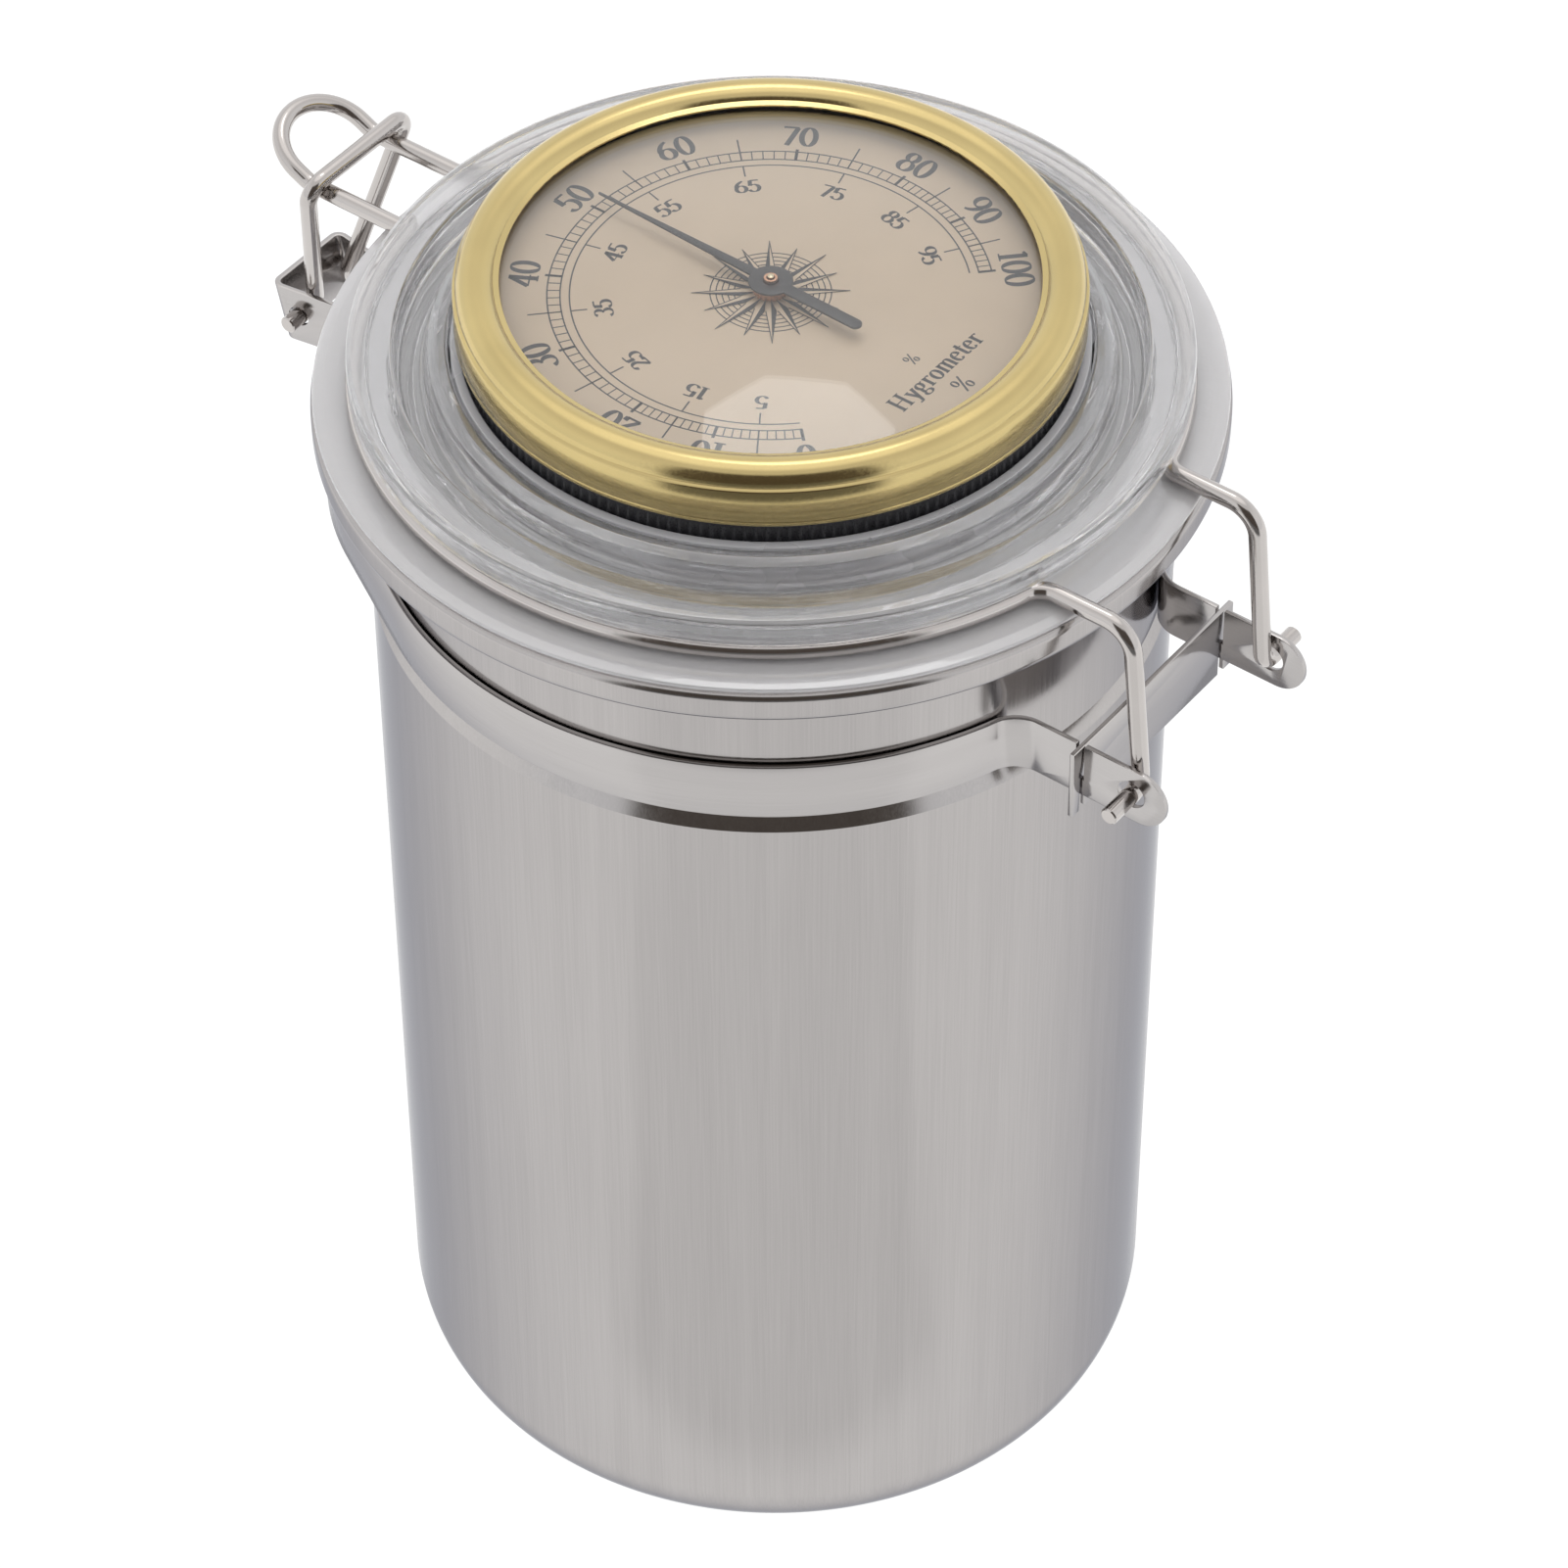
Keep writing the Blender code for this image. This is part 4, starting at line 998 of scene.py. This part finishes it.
def paint_inner_nodes():
    """Node materials for the CAD nodes that stay."""
    kept = {
        MOVEMENT: ("lower_bearing", "movement_bridge", "bridge_pillar_1", "bridge_pillar_2", "calibration_arm",
                   "calibration_screw", "arbor", "coil_collet"),
        WIRE: ("bridge_screw_1", "bridge_screw_2"),
        COPPER: ("sensing_coil",),
    }
    for surface, names in kept.items():
        for name in names:
            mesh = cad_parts[name].data
            mesh.materials.clear()
            mesh.materials.append(surface)


# ---------------------------------------------------------------- studio


def make_floor():
    side = 3000.0
    floor = bpy.data.objects.new("floor", slab("floor", [(-side, -side), (side, -side), (side, side), (-side, side)], (-20.0, -0.1)))
    bpy.context.scene.collection.objects.link(floor)
    surface = Surface("studio_floor", (0.06, 0.06, 0.06), roughness=0.9)
    surface.shader.inputs["Emission Color"].default_value = (1.0, 1.0, 1.0, 1.0)
    surface.shader.inputs["Emission Strength"].default_value = 1.0
    surface.shade_by(surface.spread(surface.noise(400.0), 0.0, 1.0), 0.005)
    # painted shade: the floor's glow is dimmer in a wedge before the object
    apron(surface)
    floor.data.materials.append(surface.material)


def apron(surface):
    """Paints shade into the floor's glow: the floor is a little dimmer in a wedge before the object, from just past its
    foot, and much dimmer farther out.
    """
    place = surface.node("ShaderNodeTexCoord")

    def along(direction):
        dot = surface.node("ShaderNodeVectorMath", operation="DOT_PRODUCT")
        surface.tree.links.new(place.outputs["Object"], dot.inputs[0])
        dot.inputs[1].default_value = direction
        return dot.outputs["Value"]

    ahead = along(towards(CAM_AZIMUTH, 0))
    aside = surface.math("ABSOLUTE", along(towards(CAM_AZIMUTH + 90, 0)), 0.0)
    slope = surface.math("DIVIDE", aside, surface.math("MAXIMUM", ahead, 0.001))
    wedge = surface.spread(slope, 0.13, 0.03, 0.60, 0.74)
    begins = surface.spread(ahead, 0.0, 1.0, 0.066, 0.075)
    dimmed = surface.math("MULTIPLY", wedge, begins)
    edge = surface.spread(ahead, 0.0, 0.92, 0.42, 0.56)
    ends = surface.math("MULTIPLY", edge, surface.spread(slope, 1.0, 0.0, 0.62, 0.80))
    strength = surface.math("SUBTRACT", 1.0, surface.math("MAXIMUM", dimmed, ends))
    surface.tree.links.new(strength, surface.shader.inputs["Emission Strength"])


def towards(azimuth, elevation):
    """The unit vector from the object towards a viewer at this azimuth and elevation."""
    a, e = math.radians(azimuth), math.radians(elevation)
    return Vector((math.sin(a) * math.cos(e), -math.cos(a) * math.cos(e), math.sin(e)))


def make_softbox(name, azimuth, elevation, distance, radius, strength, sides=8, turn=22.5):
    ring = [(radius * math.cos(math.radians(turn) + math.tau * j / sides),
             radius * math.sin(math.radians(turn) + math.tau * j / sides)) for j in range(sides)]
    mesh = slab(name, ring, (-5.0, 0.0))
    lamp = bpy.data.objects.new(name, mesh)
    bpy.context.scene.collection.objects.link(lamp)
    direction = towards(azimuth, elevation)
    lamp.location = (Vector((0.0, 0.0, DIAL_TOP)) + direction * distance) * MM
    lamp.rotation_mode = "QUATERNION"
    lamp.rotation_quaternion = direction.to_track_quat("Z", "Y")
    material = bpy.data.materials.new(name)
    material.use_nodes = True
    tree = material.node_tree
    emission = tree.nodes.new("ShaderNodeEmission")
    emission.inputs["Strength"].default_value = strength
    tree.links.new(emission.outputs["Emission"], tree.nodes["Material Output"].inputs["Surface"])
    mesh.materials.append(material)
    lamp.visible_camera = False


def make_world():
    """An even white studio with a darker side behind the camera and a slightly dim ceiling."""
    world = bpy.data.worlds.new("studio")
    bpy.context.scene.world = world
    world.use_nodes = True
    tree = world.node_tree
    background = tree.nodes["Background"]
    place = tree.nodes.new("ShaderNodeTexCoord")

    def along(direction):
        dot = tree.nodes.new("ShaderNodeVectorMath")
        dot.operation = "DOT_PRODUCT"
        tree.links.new(place.outputs["Generated"], dot.inputs[0])
        dot.inputs[1].default_value = direction
        return dot.outputs["Value"]

    def maths(operation, a, b):
        made = tree.nodes.new("ShaderNodeMath")
        made.operation = operation
        for socket, value in zip(made.inputs, (a, b)):
            if isinstance(value, (int, float)):
                socket.default_value = value
            else:
                tree.links.new(value, socket)
        return made.outputs[0]

    def ease(value, low, high):
        """One at low and zero at high, smooth between."""
        remap = tree.nodes.new("ShaderNodeMapRange")
        remap.interpolation_type = "SMOOTHSTEP"
        remap.inputs["From Min"].default_value = min(low, high)
        remap.inputs["From Max"].default_value = max(low, high)
        remap.inputs["To Min"].default_value = 1.0 if low < high else 0.0
        remap.inputs["To Max"].default_value = 0.0 if low < high else 1.0
        tree.links.new(value, remap.inputs["Value"])
        return remap.outputs["Result"]

    facing = along(towards(CAM_AZIMUTH, 0))
    beside = along(towards(CAM_AZIMUTH + 90, 0))
    height = along((0.0, 0.0, 1.0))
    ahead = maths("MAXIMUM", facing, 0.001)
    sideways = maths("DIVIDE", maths("ABSOLUTE", beside, 0.0), ahead)
    beyond = maths("GREATER_THAN", facing, 0.01)
    card = maths("MULTIPLY", ease(sideways, 0.62, 0.80), ease(height, 0.70, 0.82))
    card = maths("MULTIPLY", card, beyond)
    sky = tree.nodes.new("ShaderNodeValToRGB")
    stops = sky.color_ramp.elements
    stops[0].position, stops[0].color = 0.0, (0.93, 0.94, 0.96, 1.0)
    stops[1].position, stops[1].color = 1.0, (0.74, 0.73, 0.73, 1.0)
    middle = stops.new(0.45)
    middle.color = (0.98, 0.98, 0.99, 1.0)
    tree.links.new(height, sky.inputs["Fac"])
    glow = tree.nodes.new("ShaderNodeMix")
    glow.data_type = "RGBA"
    tree.links.new(ease(along(towards(CAM_AZIMUTH + 180, 76.0)), 0.95, 0.80), glow.inputs["Factor"])
    tree.links.new(sky.outputs["Color"], glow.inputs["A"])
    glow.inputs["B"].default_value = (1.28, 1.26, 1.25, 1.0)
    mix = tree.nodes.new("ShaderNodeMix")
    mix.data_type = "RGBA"
    tree.links.new(card, mix.inputs["Factor"])
    tree.links.new(glow.outputs["Result"], mix.inputs["A"])
    mix.inputs["B"].default_value = (0.10, 0.085, 0.075, 1.0)
    tree.links.new(mix.outputs["Result"], background.inputs["Color"])
    background.inputs["Strength"].default_value = 1.0


def make_camera():
    data = bpy.data.cameras.new("camera")
    data.lens = CAM_LENS
    data.sensor_width = 36.0
    data.clip_start = 0.05
    camera = bpy.data.objects.new("camera", data)
    bpy.context.scene.collection.objects.link(camera)
    direction = towards(CAM_AZIMUTH, CAM_ELEVATION)
    camera.location = (Vector(CAM_TARGET) + direction * CAM_DISTANCE) * MM
    camera.rotation_mode = "QUATERNION"
    level = (-direction).to_track_quat("-Z", "Y")
    camera.rotation_quaternion = level @ Matrix.Rotation(math.radians(CAM_ROLL), 3, "Z").to_quaternion()
    bpy.context.scene.camera = camera


make_jar()
make_strap()
make_tie()
make_wires()
make_lid()
make_instrument()
make_needle()
make_dial_print()
make_rear()
paint_inner_nodes()
make_floor()
make_softbox("octagon_softbox", CAM_AZIMUTH + 174.5, 66.5, 860.0, 138.0, 2.7)
make_world()
make_camera()
studio = bpy.context.scene
studio.view_settings.view_transform = "Standard"
studio.cycles.max_bounces = 28
studio.cycles.transmission_bounces = 24
studio.cycles.glossy_bounces = 10
studio.cycles.transparent_max_bounces = 24
